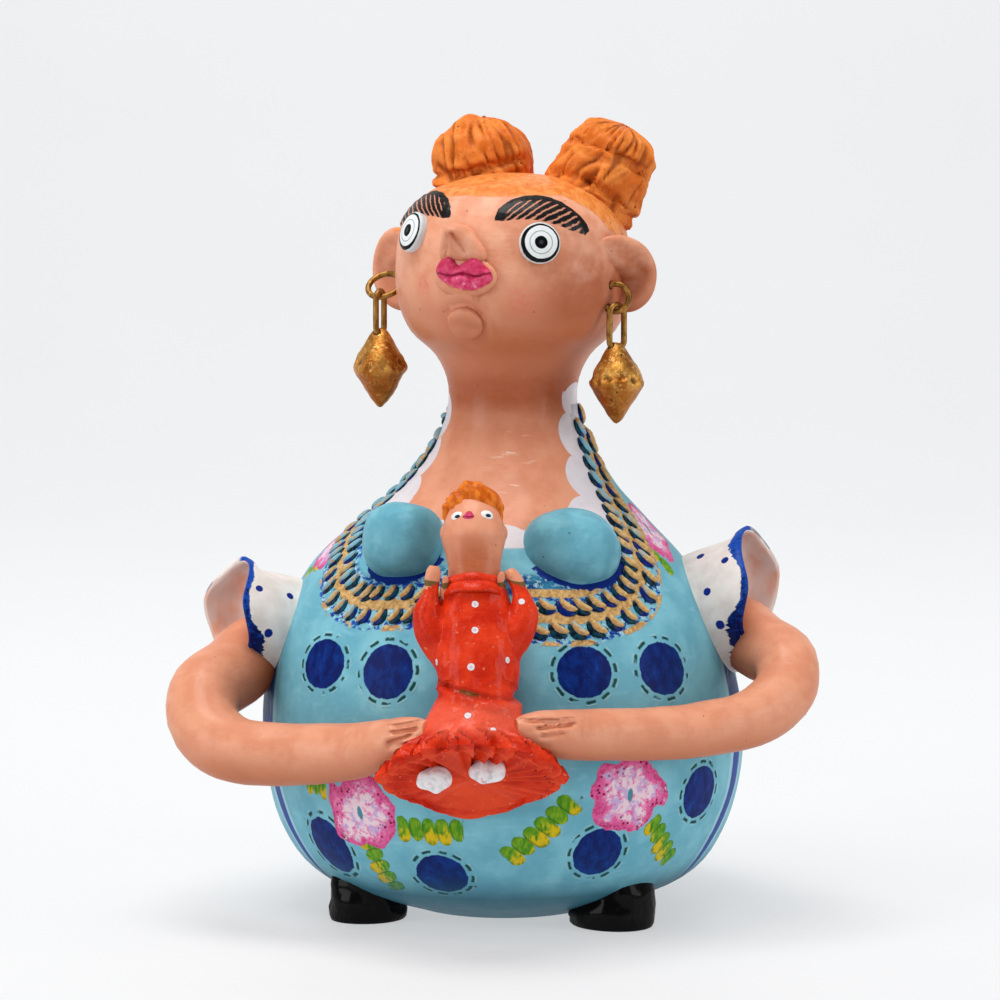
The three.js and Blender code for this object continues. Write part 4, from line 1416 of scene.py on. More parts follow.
# Warm spots of skin by angle, height and size, and painted shade in the ears where the hoops pass, by place
# and size
BLUSHES = [(-47.6, 156.1, 2.6), (4.5, 152.7, 3.0)]
EAR_SHADES = [((26.0, -15.6, 155.6), 1.5), ((25.3, -14.6, 151.6), 1.5), ((-25.6, 2.0, 152.4), 1.5)]


def write_marks(body, name, values):
    """Stores one value or vector per point of the clay under a name that a finish can read."""
    kind, field = ("FLOAT", "value") if values.ndim == 1 else ("FLOAT_VECTOR", "vector")
    layer = body.data.attributes.new(name, kind, "POINT")
    layer.data.foreach_set(field, np.ascontiguousarray(values, np.float32).ravel())


def nearest_motif(co, motifs, reach=1.0):
    """Place in the nearest of some flat motifs, in shares of its size, and the millimetres outside it."""
    best = np.full(len(co), FAR)
    out = np.zeros((len(co), 3))
    for place, wide, high in motifs:
        local = local_to(place, co)
        u, v = local[:, 0] / wide, local[:, 1] / high
        outside = np.maximum(np.abs(u) - reach, 0) * wide + np.maximum(np.abs(v) - reach, 0) * high
        outside = np.where((outside > 4) | (np.abs(local[:, 2]) > 12), FAR, outside)
        closer = outside < best
        best[closer] = outside[closer]
        out[closer, 0], out[closer, 1] = u[closer], v[closer]
    out[:, 2] = best
    return out


CHUNK = 4000


def distance_to_line(co, line, lengths):
    """Distance from each point to a line of points and the length run along it there."""
    away = np.full(len(co), 1e9)
    run = np.zeros(len(co))
    for start in range(0, len(co), CHUNK):
        part = co[start:start + CHUNK]
        gap = np.linalg.norm(part[:, None, :] - line[None, :, :], axis=2)
        k = np.clip(gap.argmin(1), 1, len(line) - 2)
        base, tangent = line[k], line[k + 1] - line[k - 1]
        tangent /= np.linalg.norm(tangent, axis=1)[:, None]
        offset = part - base
        ahead = (offset * tangent).sum(1)
        away[start:start + CHUNK] = np.linalg.norm(offset - tangent * ahead[:, None], axis=1)
        run[start:start + CHUNK] = lengths[k] + ahead
    return away, run


def leaf_place(azimuth, z, end_azimuth, end_z):
    middle_azimuth, middle_z = (azimuth + end_azimuth) / 2, (z + end_z) / 2
    mark = on_skin(middle_azimuth, middle_z)
    reach = Vector(skin_point(end_azimuth, end_z) - skin_point(azimuth, z))
    out = Vector(mark.to_3x3().col[2])
    x = (reach - out * reach.dot(out)).normalized()
    return axes_at(mark.translation, x, out.cross(x), out), reach.length / 2


class Clay:
    """The points of the finished clay and where they lie on the bare body."""

    def __init__(self, body):
        self.body = body
        self.co = points_of(body)
        self.normals = normals_of(body)
        self.z = self.co[:, 2]
        self.radius = wall_radius(self.z)
        self.azimuth = np.degrees(np.arctan2(self.co[:, 0] - shift_at(self.z), -self.co[:, 1]))
        self.off_wall = np.hypot(self.co[:, 0] - shift_at(self.z), self.co[:, 1]) - self.radius

    def all(self, value):
        return np.full(len(self.co), value)

    def write(self, name, *values):
        write_marks(self.body, name, values[0] if len(values) == 1 else np.stack(values, -1))


def mark_motifs(clay):
    for name, table in [*BIG_DOTS.items(), ("flower", FLOWERS)]:
        motifs = [(on_skin(azimuth, z, 0, tilt), wide, high) for azimuth, z, wide, high, tilt in table]
        clay.write(name, nearest_motif(clay.co, motifs, 1.0 if name == "flower" else 1.45))
    leaves = []
    for *ends, high, _ in LEAVES:
        place, half = leaf_place(*ends)
        leaves.append((place, half, high))
    spots = nearest_motif(clay.co, leaves, 1.1)
    clay.write("leaf", spots)
    dabs = clay.all(4.0)
    for (place, half, high), (*_, count) in zip(leaves, LEAVES):
        near = away_from(clay.co, place.translation) < half + high + 3
        dabs[near & (spots[:, 2] < 4)] = count
    clay.write("dabs", dabs)


def mark_small_dots(clay):
    best = clay.all(FAR)
    offset = np.full((len(clay.co), 3), FAR)
    for *at, size in SMALL_DOTS:
        away = (clay.co - np.array(at)) / size
        near = np.linalg.norm(away, axis=1)
        closer = near < best
        best[closer] = near[closer]
        offset[closer] = away[closer]
    clay.write("small_dot", offset)
    clay.write("small_dot_near", best)


def mark_band(clay):
    """Distance above the neckline band, length run along it and how far to a side."""
    z = clay.z
    band = np.full((len(z), 3), FAR)
    zone = (z > 60) & (z < 136) & (np.abs(clay.off_wall) < 6)
    away, run = distance_to_line(clay.co[zone], BAND_LINE, BAND_LENGTH)
    above = np.sign(z[zone] - band_z(clay.azimuth[zone]))
    band[zone, 0], band[zone, 1] = away * above, np.abs(run)
    band[z <= 60, 0] = -FAR
    band[:, 2] = np.sin(np.radians(clay.azimuth))
    clay.write("band", band)


def mark_lace(clay):
    """Distance below the lace's edge, length run along it and how far to a side."""
    z = clay.z
    turn = np.linspace(-180, 180, 721)
    edge_turn, edge_z = np.array(LACE_EDGE).T
    line = skin_point(turn, np.interp(turn, edge_turn, edge_z))
    lace = np.full((len(z), 3), FAR)
    lace[z > 126, 0] = -FAR
    zone = (z > 84) & (z < 142)
    away, run = distance_to_line(clay.co[zone], line, run_along(line))
    below = np.sign(np.interp(clay.azimuth[zone], edge_turn, edge_z) - z[zone])
    lace[zone, 0], lace[zone, 1] = away * below, np.abs(run)
    lace[:, 2] = np.abs(np.sin(np.radians(clay.azimuth)))
    lace[(np.abs(clay.off_wall) > 1.6), 0] = -FAR
    clay.write("lace", lace)


def mark_edges(clay):
    """Distance above the hairline and beside the side stripe, and how far the clay faces down."""
    z = clay.z
    around = (clay.azimuth - FACE_AZIMUTH + 180) % 360 - 180
    hair = wall_length(z) - wall_length(np.interp(np.abs(around), *np.array(HAIRLINE).T))
    hair[(np.abs(clay.off_wall) > 3.5) & (z < 182)] = -FAR
    side = np.radians(np.abs(clay.azimuth) - np.interp(z, *np.array(STRIPE).T)) * clay.radius
    side = np.clip(side / (0.3 + 0.7 * rise(z, 0, 42)), -12, 12)
    clay.write("edges", hair, side, np.clip(-clay.normals[:, 2], -1, 1))


def mark_faces(clay):
    """Brows, eyes, warm spots, creases and the line between the lips."""
    co, z = clay.co, clay.z
    clay.write("brow", *brow_place(co))
    eyes = nearest_motif(co, [(place, EYE["radius"], EYE["radius"]) for place in EYE_PLACES])
    small = nearest_motif(co, [(place, CHILD_EYE_RADIUS, 1.0) for place in CHILD_EYES])
    eyes[small[:, 2] < 2] = small[small[:, 2] < 2]
    clay.write("eye", eyes)
    warm = clay.all(0.0)
    for azimuth, height, size in BLUSHES:
        warm += bell(away_from(co, skin_point(azimuth, height)), size)
    crease = clay.all(0.0)
    for at, size in EAR_SHADES:
        crease += bell(away_from(co, at), size)
    for bent, width in CREASES:
        crease += 0.9 * bell(near_path(co, bent)[0], width * 0.75)
    local = local_to(on_skin(FACE_AZIMUTH + 0.4, 158.8, 1), co)
    seam = local[:, 1] - 0.3 * np.cos(local[:, 0] * 0.9) - 0.1
    seam = np.where(np.abs(z - 103) < 6, (z - 103.0) * 1.6, seam)
    clay.write("flush", warm, crease, seam)


def mark_shade(clay):
    """Painted shade in hollows, under the jaw, on the neck and towards the foot of the body, the olive line
    at the child's collar and the comb of the buns.
    """
    co, z = clay.co, clay.z
    shade = clay.all(0.0)
    for at, size, amount in SHADES:
        shade += amount * bell(away_from(co, at), size)
    on_wall = 1 - rise(np.abs(clay.off_wall), 0.6, 2.0)
    # Painted shade under the jaw, on the neck and towards the foot of the body
    shade += 0.85 * rise(z, 122, 131) * (1 - rise(z, 130, 141)) * on_wall
    shade += 2.2 * (1 - rise(z, 2, 17)) * on_wall
    shade += 0.3 * on_wall * rise(z, 112, 124) * (1 - rise(z, 126, 134))
    child = (co[:, 1] < -43) & (z > 84) & (clay.off_wall > 0.9)
    olive_z = np.where(np.abs(co[:, 0] + 6.3) > 7.2, 87.6, 87.2)
    olive = np.where(child, bell(z - olive_z - 0.25 * np.sin(co[:, 0]), 0.8), 0)
    comb = clay.all(0.0)
    for side, bun in BUNS.items():
        near = away_from(co, bun["at"]) < bun["radius"] * 1.35
        comb[near] = bun_strands(side, co[near])[2]
    clay.write("shade", shade, olive, comb)


def mark_sleeves(clay):
    """The lining, and how far back from the rim and where round it the outside lies."""
    rim = np.full((len(clay.co), 3), FAR)
    lining = clay.all(0.0)
    for side, sleeve in SLEEVES.items():
        axis, front, up = (np.array(direction) for direction in sleeve_axes(side))
        local = clay.co - np.array(sleeve["rim"])
        angle = np.arctan2(local @ up, local @ front)
        back = sleeve_wave(side, angle) - local @ axis
        from_axis = local - np.outer(local @ axis, axis)
        reach = np.linalg.norm(from_axis, axis=1)
        inner = sleeve["rim_radius"] * (1 + SLEEVE_WAVE * np.cos(SLEEVE_WAVES * angle)) - SLEEVE_WALL * 0.8
        beside = np.linalg.norm(local, axis=1) < 27
        outside = beside & (reach > inner)
        rim[outside, 0] = back[outside]
        rim[beside, 1] = np.sin(angle[beside])
        rim[beside, 2] = np.cos(angle[beside])
        outwards = (from_axis * clay.normals).sum(1) / np.maximum(reach, 1)
        hollow = (outwards < -0.1) | ((reach < sleeve["base_radius"] - 3) & (outwards < 0.3) & (back > 4))
        lining[beside & hollow & (back < 16)] = 1
    clay.write("lining", lining)
    clay.write("rim", rim)


def mark_child_dress(clay):
    """Teeth and folds of the hem, with the painted shade between the teeth, and the waist, with its painted
    shade and olive marks.
    """
    co, z = clay.co, clay.z
    around, height = hem_place(co)
    tooth = hem_tooth(around, height)
    seen = (co[:, 1] < -50) & (np.abs(co[:, 0] + 6.5) < 26) & (z < 75)
    front = (1 - rise(np.sin(around), 0.25, 0.75)) * rise(height, -0.6, 0.4) * (1 - rise(height, 4.2, 6.0))
    fold = np.where(seen, 1.3 * front * (1 - rise(tooth, 0.06, 0.3)) * (1 - rise(tooth, 0.93, 0.99)), 0)
    waist = bell(above_waist(co) - 0.6, 0.8) * (0.3 + bell(co[:, 0] + 7.5, 3.6))
    clay.write("hem", np.where(seen, tooth, 0), fold, np.where(seen, waist, 0))


def mark_breasts(clay):
    """Distance from the lower edge of either breast."""
    breast = clay.all(FAR)
    for _, half_sizes, place, _ in BREASTS:
        reach = (np.linalg.norm(local_to(place, clay.co) / np.array(half_sizes), axis=1) - 1) * 10
        low = rise(place.translation.z - clay.z, -1.5, 3)
        breast = np.minimum(breast, reach + FAR * (1 - low))
    clay.write("breast", breast)


def mark_paint(body):
    clay = Clay(body)
    for mark in (mark_motifs, mark_small_dots, mark_band, mark_lace, mark_edges, mark_faces, mark_shade,
                 mark_sleeves, mark_child_dress, mark_breasts):
        mark(clay)


def share_out_finishes(body):
    """The wall of the body is dress below the lace and skin above it."""
    lace = np.empty(len(body.data.vertices) * 3, np.float32)
    body.data.attributes["lace"].data.foreach_get("vector", lace)
    lace = lace.reshape(-1, 3)[:, 0]
    dress, skin = FINISHES.index("dress_paint"), FINISHES.index("skin_paint")
    for face in body.data.polygons:
        if face.material_index != dress:
            continue
        z = face.center.z
        if z > 126 or (z > 84 and lace[list(face.vertices)].mean() < 2):
            reach = math.hypot(face.center.x - HEAD_SHIFT, face.center.y)
            near_breast = z < 106 and face.center.y < -30 and reach > float(wall_radius(z)) + 1.2
            if not near_breast:
                face.material_index = skin


# Finishes


def tint(red, green, blue):
    """A paint colour as a colour chart gives it, 0 to 255."""
    def linear(part):
        part /= 255
        return part / 12.92 if part <= 0.04045 else ((part + 0.055) / 1.055) ** 2.4
    return (linear(red), linear(green), linear(blue), 1)


class Value:
    """A value on its way through a finish; arithmetic on it adds Math nodes."""

    def __init__(self, finish, socket):
        self.finish = finish
        self.socket = socket

    def math(self, operation, *values):
        return self.finish.math(operation, self, *values)

    def __add__(self, other):
        return self.math("ADD", other)

    def __sub__(self, other):
        return self.math("SUBTRACT", other)

    def __rsub__(self, other):
        return self.finish.math("SUBTRACT", other, self)

    def __mul__(self, other):
        return self.math("MULTIPLY", other)

    def __truediv__(self, other):
        return self.math("DIVIDE", other)

    def __pow__(self, other):
        return self.math("POWER", other)

    def __abs__(self):
        return self.math("ABSOLUTE")

    __radd__, __rmul__ = __add__, __mul__

    def step(self, low, high):
        """0 below low, 1 above high and soft between them; low may be the greater."""
        settings = {"interpolation_type": "SMOOTHSTEP"}
        start, end = (0.0, 1.0) if low <= high else (1.0, 0.0)
        inputs = {0: self, 1: min(low, high), 2: max(low, high), 3: start, 4: end}
        return self.finish.node("ShaderNodeMapRange", settings, inputs)

    def within(self, edge, soft=0.1):
        return self.step(edge + soft, edge - soft)


class Finish:
    """One painted finish, put together node by node."""

    def __init__(self, name):
        self.material = FINISH_SLOTS.get(name) or bpy.data.materials.new(name)
        self.material.use_nodes = True
        self.tree = self.material.node_tree
        self.shader = self.tree.nodes["Principled BSDF"]
        self.colour = self.height = None
        texture = self.node("ShaderNodeTexCoord", output="Object")
        self.at = self.node("ShaderNodeVectorMath", {"operation": "SCALE"}, {0: texture, "Scale": 1 / MM})

    def node(self, kind, settings=None, inputs=None, output=0):
        made = self.tree.nodes.new(kind)
        for key, value in (settings or {}).items():
            setattr(made, key, value)
        self.send(inputs or {}, made)
        return Value(self, made.outputs[output])

    def send(self, inputs, node):
        """Links values to a node's inputs, or sets these where they are plain numbers."""
        for key, value in inputs.items():
            if isinstance(value, Value):
                self.tree.links.new(value.socket, node.inputs[key])
            else:
                node.inputs[key].default_value = value

    def math(self, operation, *values):
        return self.node("ShaderNodeMath", {"operation": operation}, dict(enumerate(values)))

    def part(self, k, vector=None):
        """One of the three numbers of a vector, or of the place in millimetres."""
        return self.node("ShaderNodeSeparateXYZ", None, {0: vector or self.at}, k)

    def noise(self, size, detail=3.0, rough=0.55, stretch=None, seed=0.0):
        """Cloudy chance around 0.5 with lumps of that many millimetres."""
        at = self.at
        if stretch or seed:
            shift = (seed, seed * 2, seed * 3)
            inputs = {"Vector": at, "Location": shift, "Scale": stretch or (1, 1, 1)}
            at = self.node("ShaderNodeMapping", None, inputs)
        inputs = {"Vector": at, "Scale": 1 / size, "Detail": detail, "Roughness": rough}
        return self.node("ShaderNodeTexNoise", None, inputs)

    def cells(self, size, seed=0.0):
        """Distance from the middle of the nearest of many cells."""
        at = self.node("ShaderNodeMapping", None, {"Vector": self.at, "Location": (seed, seed, seed)})
        return self.node("ShaderNodeTexVoronoi", None, {"Vector": at, "Scale": 1 / size}, "Distance")

    def marks(self, name):
        """The three numbers stored on the clay under a name."""
        vector = self.node("ShaderNodeAttribute", {"attribute_name": name}, None, "Vector")
        return [self.part(k, vector) for k in range(3)]

    def mark(self, name):
        return self.node("ShaderNodeAttribute", {"attribute_name": name}, None, "Fac")

    def over(self, share, below, above):
        """One colour painted over another where share is 1. A colour is a value or three numbers of a
        colour chart."""
        below, above = (tint(*paint) if isinstance(paint, tuple) else paint for paint in (below, above))
        return self.node("ShaderNodeMix", {"data_type": "RGBA"}, {0: share, 6: below, 7: above}, 2)

    def daub(self, share, paint):
        self.colour = self.over(share, self.colour, paint)

    def finish(self, rough, height=None, depth=0.3, coat=0.25, coat_rough=0.12, specular=0.06):
        """Sends the colour, the roughness and the relief in millimetres to the surface."""
        inputs = {
            "Base Color": self.colour, "Roughness": rough, "Coat Weight": coat,
            "Coat Roughness": coat_rough, "Specular IOR Level": specular,
        }
        if height is not None:
            relief = {"Height": height, "Strength": 1.0, "Distance": depth * MM}
            inputs["Normal"] = self.node("ShaderNodeBump", None, relief)
        self.send(inputs, self.shader)
        return self.material


def lace_over(f):
    """White scallops between the skin and the dress."""
    away, run, side = f.marks("lace")
    scallop = abs((run * (math.pi / 11.5) + 0.9).math("SINE")) ** 0.6 * 3.0
    band, _, _ = f.marks("band")
    wide = side.step(0.55, 0.75) * 5 + 4.6
    inside = (away + scallop).step(-0.12, 0.12) * (away - wide).within(0.0, 0.4) * band.step(3.4, 3.9)
    shade = f.noise(3, 3)
    white = f.over(shade, (214, 206, 212), (236, 230, 234))
    rim = (away + scallop).step(0.9, 0.1) * inside
    f.daub(inside, white)
    f.height = f.height + inside * 0.35 - rim * 0.1


def leaf_over(f):
    """A row of fat dabs, green above and yellow below."""
    u, v, near = f.marks("leaf")
    dabs = f.mark("dabs")
    ripple = f.noise(1.0, 3, rough=0.6) - 0.5
    place = (u + 1) * dabs * 0.5 + v * 0.12
    dab = place.math("FRACT")
    which = f.node("ShaderNodeTexWhiteNoise", {"noise_dimensions": "1D"}, {"W": place.math("FLOOR")}) - 0.5
    half = (dab - 0.5) * 2
    edge = (1 - half * half).math("MAXIMUM", 0.0) ** 0.5 * 0.62 + 0.38 + which * 0.2
    inside = (edge - abs(v + which * 0.2) + ripple * 0.25).step(0, 0.06)
    inside = inside * (abs(u) + ripple * 0.12).within(0.97, 0.03) * near.within(1.25, 0.1)
    streak = f.noise(0.9, 3, stretch=(1, 1, 0.35), seed=3)
    yellow = (v * -0.8 + (streak - 0.5) * 2.2 + which * 0.9).step(0.05, 0.7)
    paint = f.over((streak - 0.5).step(-0.2, 0.2), (62, 136, 22), (128, 172, 34))
    paint = f.over(yellow, paint, (214, 186, 20))
    paint = f.over((abs(v) + (streak - 0.5) * 1.2).step(0.7, 1.1) * 0.7, paint, (26, 100, 26))
    paint = f.over(dab.within(0.12, 0.1) * 0.7, paint, (40, 104, 20))
    f.daub(inside, paint)
    f.height = f.height + inside * 0.3 + inside * dab.within(0.1, 0.1) * -0.3


def flower_over(f):
    """A blot of pink with pale petals daubed into it and dark pink specks round its edge."""
    u, v, near = f.marks("flower")
    ripple = f.noise(2.4, 3) - 0.5
    fine = f.noise(0.9, 3, rough=0.6, seed=9) - 0.5
    broad = f.noise(7.5, 1, seed=5) - 0.5
    reach = (u * u + v * v) ** 0.5
    turn = v.math("ARCTAN2", u)
    lobes = (turn * 5 + broad * 6).math("COSINE") * 0.07 + broad * 0.5
    inside = (reach - lobes + ripple * 0.18 + fine * 0.06).within(0.96, 0.02) * near.within(2.5, 0.3)
    pink = f.over(fine.step(-0.12, 0.16), (226, 92, 158), (246, 150, 196))
    blotch = f.noise(3.6, 3, rough=0.6, seed=2)
    petal = (0.72 - reach + lobes + (blotch - 0.5) * 1.5).step(-0.04, 0.1)
    petal = petal * f.noise(1.8, 3, seed=8).step(0.34, 0.46)
    pale = f.over(f.noise(2.4, 3, seed=12).step(0.46, 0.58), (240, 222, 230), (198, 178, 222))
    paint = f.over(petal * 0.9, pink, pale)
    spoke = (turn * (7 / math.tau) + ripple * 0.9).math("FRACT")
    spoke = abs(spoke - 0.5).within(0.07, 0.06) * reach.step(0.2, 0.4)
    paint = f.over(spoke * 0.6, paint, (226, 96, 160))
    rim = (reach - lobes + ripple * 0.5).step(0.66, 0.9) * fine.step(-0.1, 0.06)
    paint = f.over(rim * 0.85, paint, (198, 34, 112))
    speck = f.cells(1.25, 3).within(0.27, 0.06) * (reach - lobes).step(0.5, 0.72)
    speck = speck * f.noise(5, 2, seed=1).step(0.42, 0.5)
    paint = f.over(speck, paint, (128, 10, 62))
    heart = (u * u * 60 + v * v * 9 + ripple * 0.3).within(0.3, 0.1)
    paint = f.over(heart, paint, (70, 140, 156))
    thick = inside * (0.4 + fine * 1.2 + petal * 0.25) - speck * inside * 0.3
    f.daub(inside, paint)
    f.height = f.height + thick - heart * inside * 0.3


def dot_over(f, name):
    """A big navy dot in a ring of stitches pressed into the clay."""
    u, v, near = f.marks(name)
    ripple = f.noise(2.2, 3, seed=1) - 0.5
    fine = f.noise(0.7, 3, seed=4) - 0.5
    reach = (u * u + v * v) ** 0.5
    close = near.within(2.2, 0.3)
    inside = (reach + ripple * 0.16 + fine * 0.03).within(0.98, 0.02) * close
    streak = f.noise(2.6, 5, rough=0.65, stretch=(1, 1, 0.6))
    paint = f.over(streak.step(0.4, 0.6), (0, 22, 92), (2, 42, 122))
    paint = f.over(streak.step(0.6, 0.72) * 0.5, paint, (16, 76, 160))
    f.daub(inside, paint)
    turn = (v.math("ARCTAN2", u) * (12 / math.tau) + 0.3 + ripple * 0.25).math("FRACT")
    broken = f.noise(5, 2, seed=6).step(0.38, 0.46)
    dash = abs(turn - 0.5).within(0.29, 0.05) * close * broken
    ring = reach + ripple * 0.1
    groove = dash * abs(ring - 1.15).within(0.05, 0.03)
    glint = dash * abs(ring - 1.245).within(0.03, 0.035)
    f.daub(glint * 0.55, (170, 214, 220))
    f.daub(groove, (10, 72, 68))
    f.height = f.height + inside * (0.3 + fine * 0.4) - groove * 2.0 + glint * 0.6


def band_over(f):
    """Gold, blue and light ground between and around the scales of the neckline."""
    away, _, side = f.marks("band")
    wobble = (f.noise(3.4, 3, seed=3) - 0.5) * 2.2
    rough = f.noise(1.0, 4, rough=0.65, seed=8)
    broad = f.noise(6, 2, seed=5)
    edge = (rough - 0.5) * 1.2
    gold = f.over(rough.step(0.35, 0.65), (176, 134, 80), (224, 184, 122))
    blue = f.over(rough.step(0.4, 0.6), (14, 46, 138), (48, 100, 186))
    light = f.over(rough.step(0.45, 0.6), (132, 190, 214), (196, 226, 238))
    upper = away.step(0, 1) * abs(side).within(0.62, 0.1)
    close = (abs(away) - upper * 5.0).within(6.4, 0.8)
    inner = close * away.step(5, 6.5)
    f.daub(inner, f.over(broad.step(0.4, 0.55), (16, 62, 128), (44, 122, 156)))
    f.daub(close * f.noise(1.7, 3, seed=14).step(0.5, 0.56) * (1 - inner * 0.35), light)
    dabs = f.noise(1.9, 3, rough=0.6, seed=9, stretch=(1, 1, 1.6))
    f.daub(close * dabs.step(0.56, 0.59), (14, 78, 108))
    scribble = abs(abs(away) - 5.3 + wobble * 0.7).within(1.1, 0.3) * dabs.step(0.49, 0.53)
    f.daub(scribble, blue)
    middle = (abs(away + wobble * 0.35 + edge)).within(1.45, 0.2) * broad.step(0.3, 0.36)
    hem = abs(away + 6.2 + wobble * 0.5 + edge).within(0.75, 0.2) * broad.step(0.5, 0.54)
    rib = abs(away + 4.9 + edge * 0.7).within(1.5, 0.25) * side.step(0.8, 0.86)
    strip = abs(away - 6.4 + edge * 0.5).within(1.1, 0.2) * side.step(0.06, 0.1) * side.within(0.5, 0.05)
    all_gold = (middle + hem + rib + strip).math("MINIMUM", 1.0)
    f.daub(all_gold, gold)
    f.height = f.height + all_gold * (0.5 + rough * 0.5) + rib * 1.2


def dress_colour(f):
    cloud = f.noise(9, 4, seed=2)
    brush = f.noise(3.5, 4, stretch=(0.5, 0.5, 1.6))
    f.colour = f.over(cloud.step(0.35, 0.68), (106, 174, 194), (128, 194, 210))
    f.daub((brush - 0.5).step(0.06, 0.3) * 0.5, (150, 208, 222))
    f.daub((0.5 - brush).step(0.08, 0.3) * 0.4, (88, 152, 172))
    pit = f.cells(7.5, 2).within(0.05, 0.015)
    f.height = brush * 0.35 + f.noise(1.2, 3) * 0.12 - pit * 0.8
    f.daub(pit * 0.7, (58, 84, 92))
    return brush


def paint_dress():
    f = Finish("dress_paint")
    brush = dress_colour(f)
    _, side, under = f.marks("edges")
    low = f.part(2).step(66, 64)
    # A pale painted highlight beside each side stripe
    pale = (abs(side + 4.4) + (brush - 0.5) * 0.8).within(1.1, 0.4)
    pale = pale + (side - 6).within(0, 2) * side.step(3.4, 3.8)
    f.daub(pale * low * 0.5, (186, 220, 234))
    stripe = (abs(side) + (brush - 0.5) * 0.8).within(3.1, 0.2)
    f.daub(stripe * low, f.over(brush, (0, 34, 118), (6, 74, 172)))
    for name in BIG_DOTS:
        dot_over(f, name)
    leaf_over(f)
    flower_over(f)
    band_over(f)
    breast = f.mark("breast")
    ripple = f.noise(1.4, 3, seed=7) - 0.5
    line = (breast + ripple * 2.2).within(1.5, 0.15)
    f.daub(line, (8, 40, 122))
    lace_over(f)
    # Painted shade in the hollows and towards the foot of the body
    shade, _, _ = f.marks("shade")
    f.daub((shade * 0.7).math("MINIMUM", 0.75), (30, 76, 94))
    # Painted shade on the undersides
    f.daub(under.step(0.2, 0.95) * 0.35, (30, 84, 104))
    f.finish(0.4 + brush * 0.16, f.height, depth=0.18, coat=0.02, coat_rough=0.13, specular=0.1)


def paint_breast():
    f = Finish("breast_paint")
    brush = dress_colour(f)
    f.daub(f.noise(7, 3, seed=6).step(0.4, 0.62) * 0.5, (86, 146, 164))
    _, _, under = f.marks("edges")
    # Painted shade on the undersides
    f.daub(under.step(0.1, 0.95) * 0.6, (40, 96, 116))
    f.finish(0.4 + brush * 0.16, f.height, depth=0.2, coat=0.1, coat_rough=0.12)


def hair_over(f):
    above, _, _ = f.marks("edges")
    ripple = f.noise(4, 3) - 0.5
    fine = f.noise(0.8, 2) - 0.5
    inside = (above + ripple * 1.6 + fine * 0.8).step(-0.5, 0.5)
    comb = f.noise(3.2, 3, stretch=(1.8, 1.8, 0.35))
    paint = f.over(comb.step(0.35, 0.65), (226, 124, 50), (242, 154, 82))
    x = f.part(0)
    patchy = f.noise(7, 2, seed=11).step(0.48, 0.6) + abs(x - 29).within(5, 3) * 0.8
    pits = f.cells(2.3, 5).within(0.13, 0.04) * patchy.math("MINIMUM", 1.0)
    paint = f.over(pits * 0.8, paint, (160, 72, 20))
    f.daub(inside, paint)
    f.height = f.height + inside * (comb * 0.5 + 0.3) - inside * pits * 1.2


def brow_over(f):
    """Black brows, scored with slanting lines that leave the skin bare."""
    along, above, below = f.marks("brow")
    ripple = f.noise(1.1, 3, seed=3) - 0.5
    inside = (above + ripple * 0.5).step(-0.1, 0.1) * (below + ripple * 0.5).step(-0.1, 0.1)
    inside = inside * abs(along).within(1.0, 0.01)
    stroke = (along * 5.6 - below * 0.55 + ripple * 0.5).math("FRACT")
    gap = abs(stroke - 0.5).within(0.16, 0.05)
    gap = gap * (above + ripple * 0.8 + f.noise(1.8, 2, seed=2)).step(1.9, 2.2)
    gap = gap * abs(along + ripple * 0.05).within(0.76, 0.03)
    low = (below + ripple).within(0.5, 0.3) * abs(stroke - 0.5).within(0.26, 0.06)
    low = low * abs(along).within(0.8, 0.04)
    bare = (gap + low).math("MINIMUM", 1.0)
    black = inside * (1 - bare)
    f.daub(inside, (206, 138, 112))
    f.daub(black, (14, 10, 11))
    f.height = f.height + black * (1.1 + ripple * 0.8)


def paint_skin():
    f = Finish("skin_paint")
    cloud = f.noise(7, 3, seed=3)
    fine = f.noise(1.6, 4, rough=0.6)
    f.colour = f.over(cloud.step(0.35, 0.65), (224, 146, 112), (234, 161, 127))
    f.daub((fine - 0.5).step(0.08, 0.3) * 0.35, (242, 176, 142))
    shade, olive, _ = f.marks("shade")
    # Painted shade in the hollows, under the jaw and on the neck
    dark = f.over(fine, (158, 72, 32), (184, 94, 50))
    f.daub((shade + (cloud - 0.5) * shade * 0.8).math("MINIMUM", 0.85), dark)
    warm, crease, _ = f.marks("flush")
    _, _, under = f.marks("edges")
    blot = f.noise(1.2, 3, seed=5).step(0.4, 0.62)
    # Painted shade on the undersides
    f.daub((under + (cloud - 0.5) * 0.4).step(-0.1, 0.95) * 0.8, (178, 98, 58))
    f.daub(warm * (blot * 0.4 + 0.1), (222, 92, 84))
    f.daub((olive + (fine - 0.5) * 0.6).step(0.4, 0.6), (112, 86, 42))
    # Painted shade in the scored lines and where the hoops pass into the ears
    f.daub(crease.step(0.35, 0.9) * 0.7, (152, 66, 38))
    stroke = f.noise(2.2, 3, stretch=(0.6, 0.6, 2.4), seed=6)
    speck = f.cells(5.5, 9).within(0.035, 0.012)
    x, level = f.part(0), f.part(2)
    zone = abs(level - 113).within(7, 5) * abs(x - 3).within(4.5, 4)
    glint = f.noise(1.9, 3, stretch=(0.35, 0.35, 2.4), seed=4).step(0.6, 0.7) * zone
    f.daub(glint * 0.75, (252, 218, 198))
    # Painted highlights on the forehead
    forehead_highlight = f.noise(5, 2, seed=13).step(0.3, 0.75) * level.step(150, 164)
    f.daub(forehead_highlight * 0.4, (252, 196, 166))
    f.height = fine * 0.22 + stroke * 0.4 + cloud * 0.3 - speck * 0.5
    f.daub(speck * 0.6, (150, 84, 60))
    hair_over(f)
    brow_over(f)
    lace_over(f)
    f.finish(0.36 + fine * 0.16, f.height, depth=0.3, coat=0.14, coat_rough=0.12, specular=0.16)


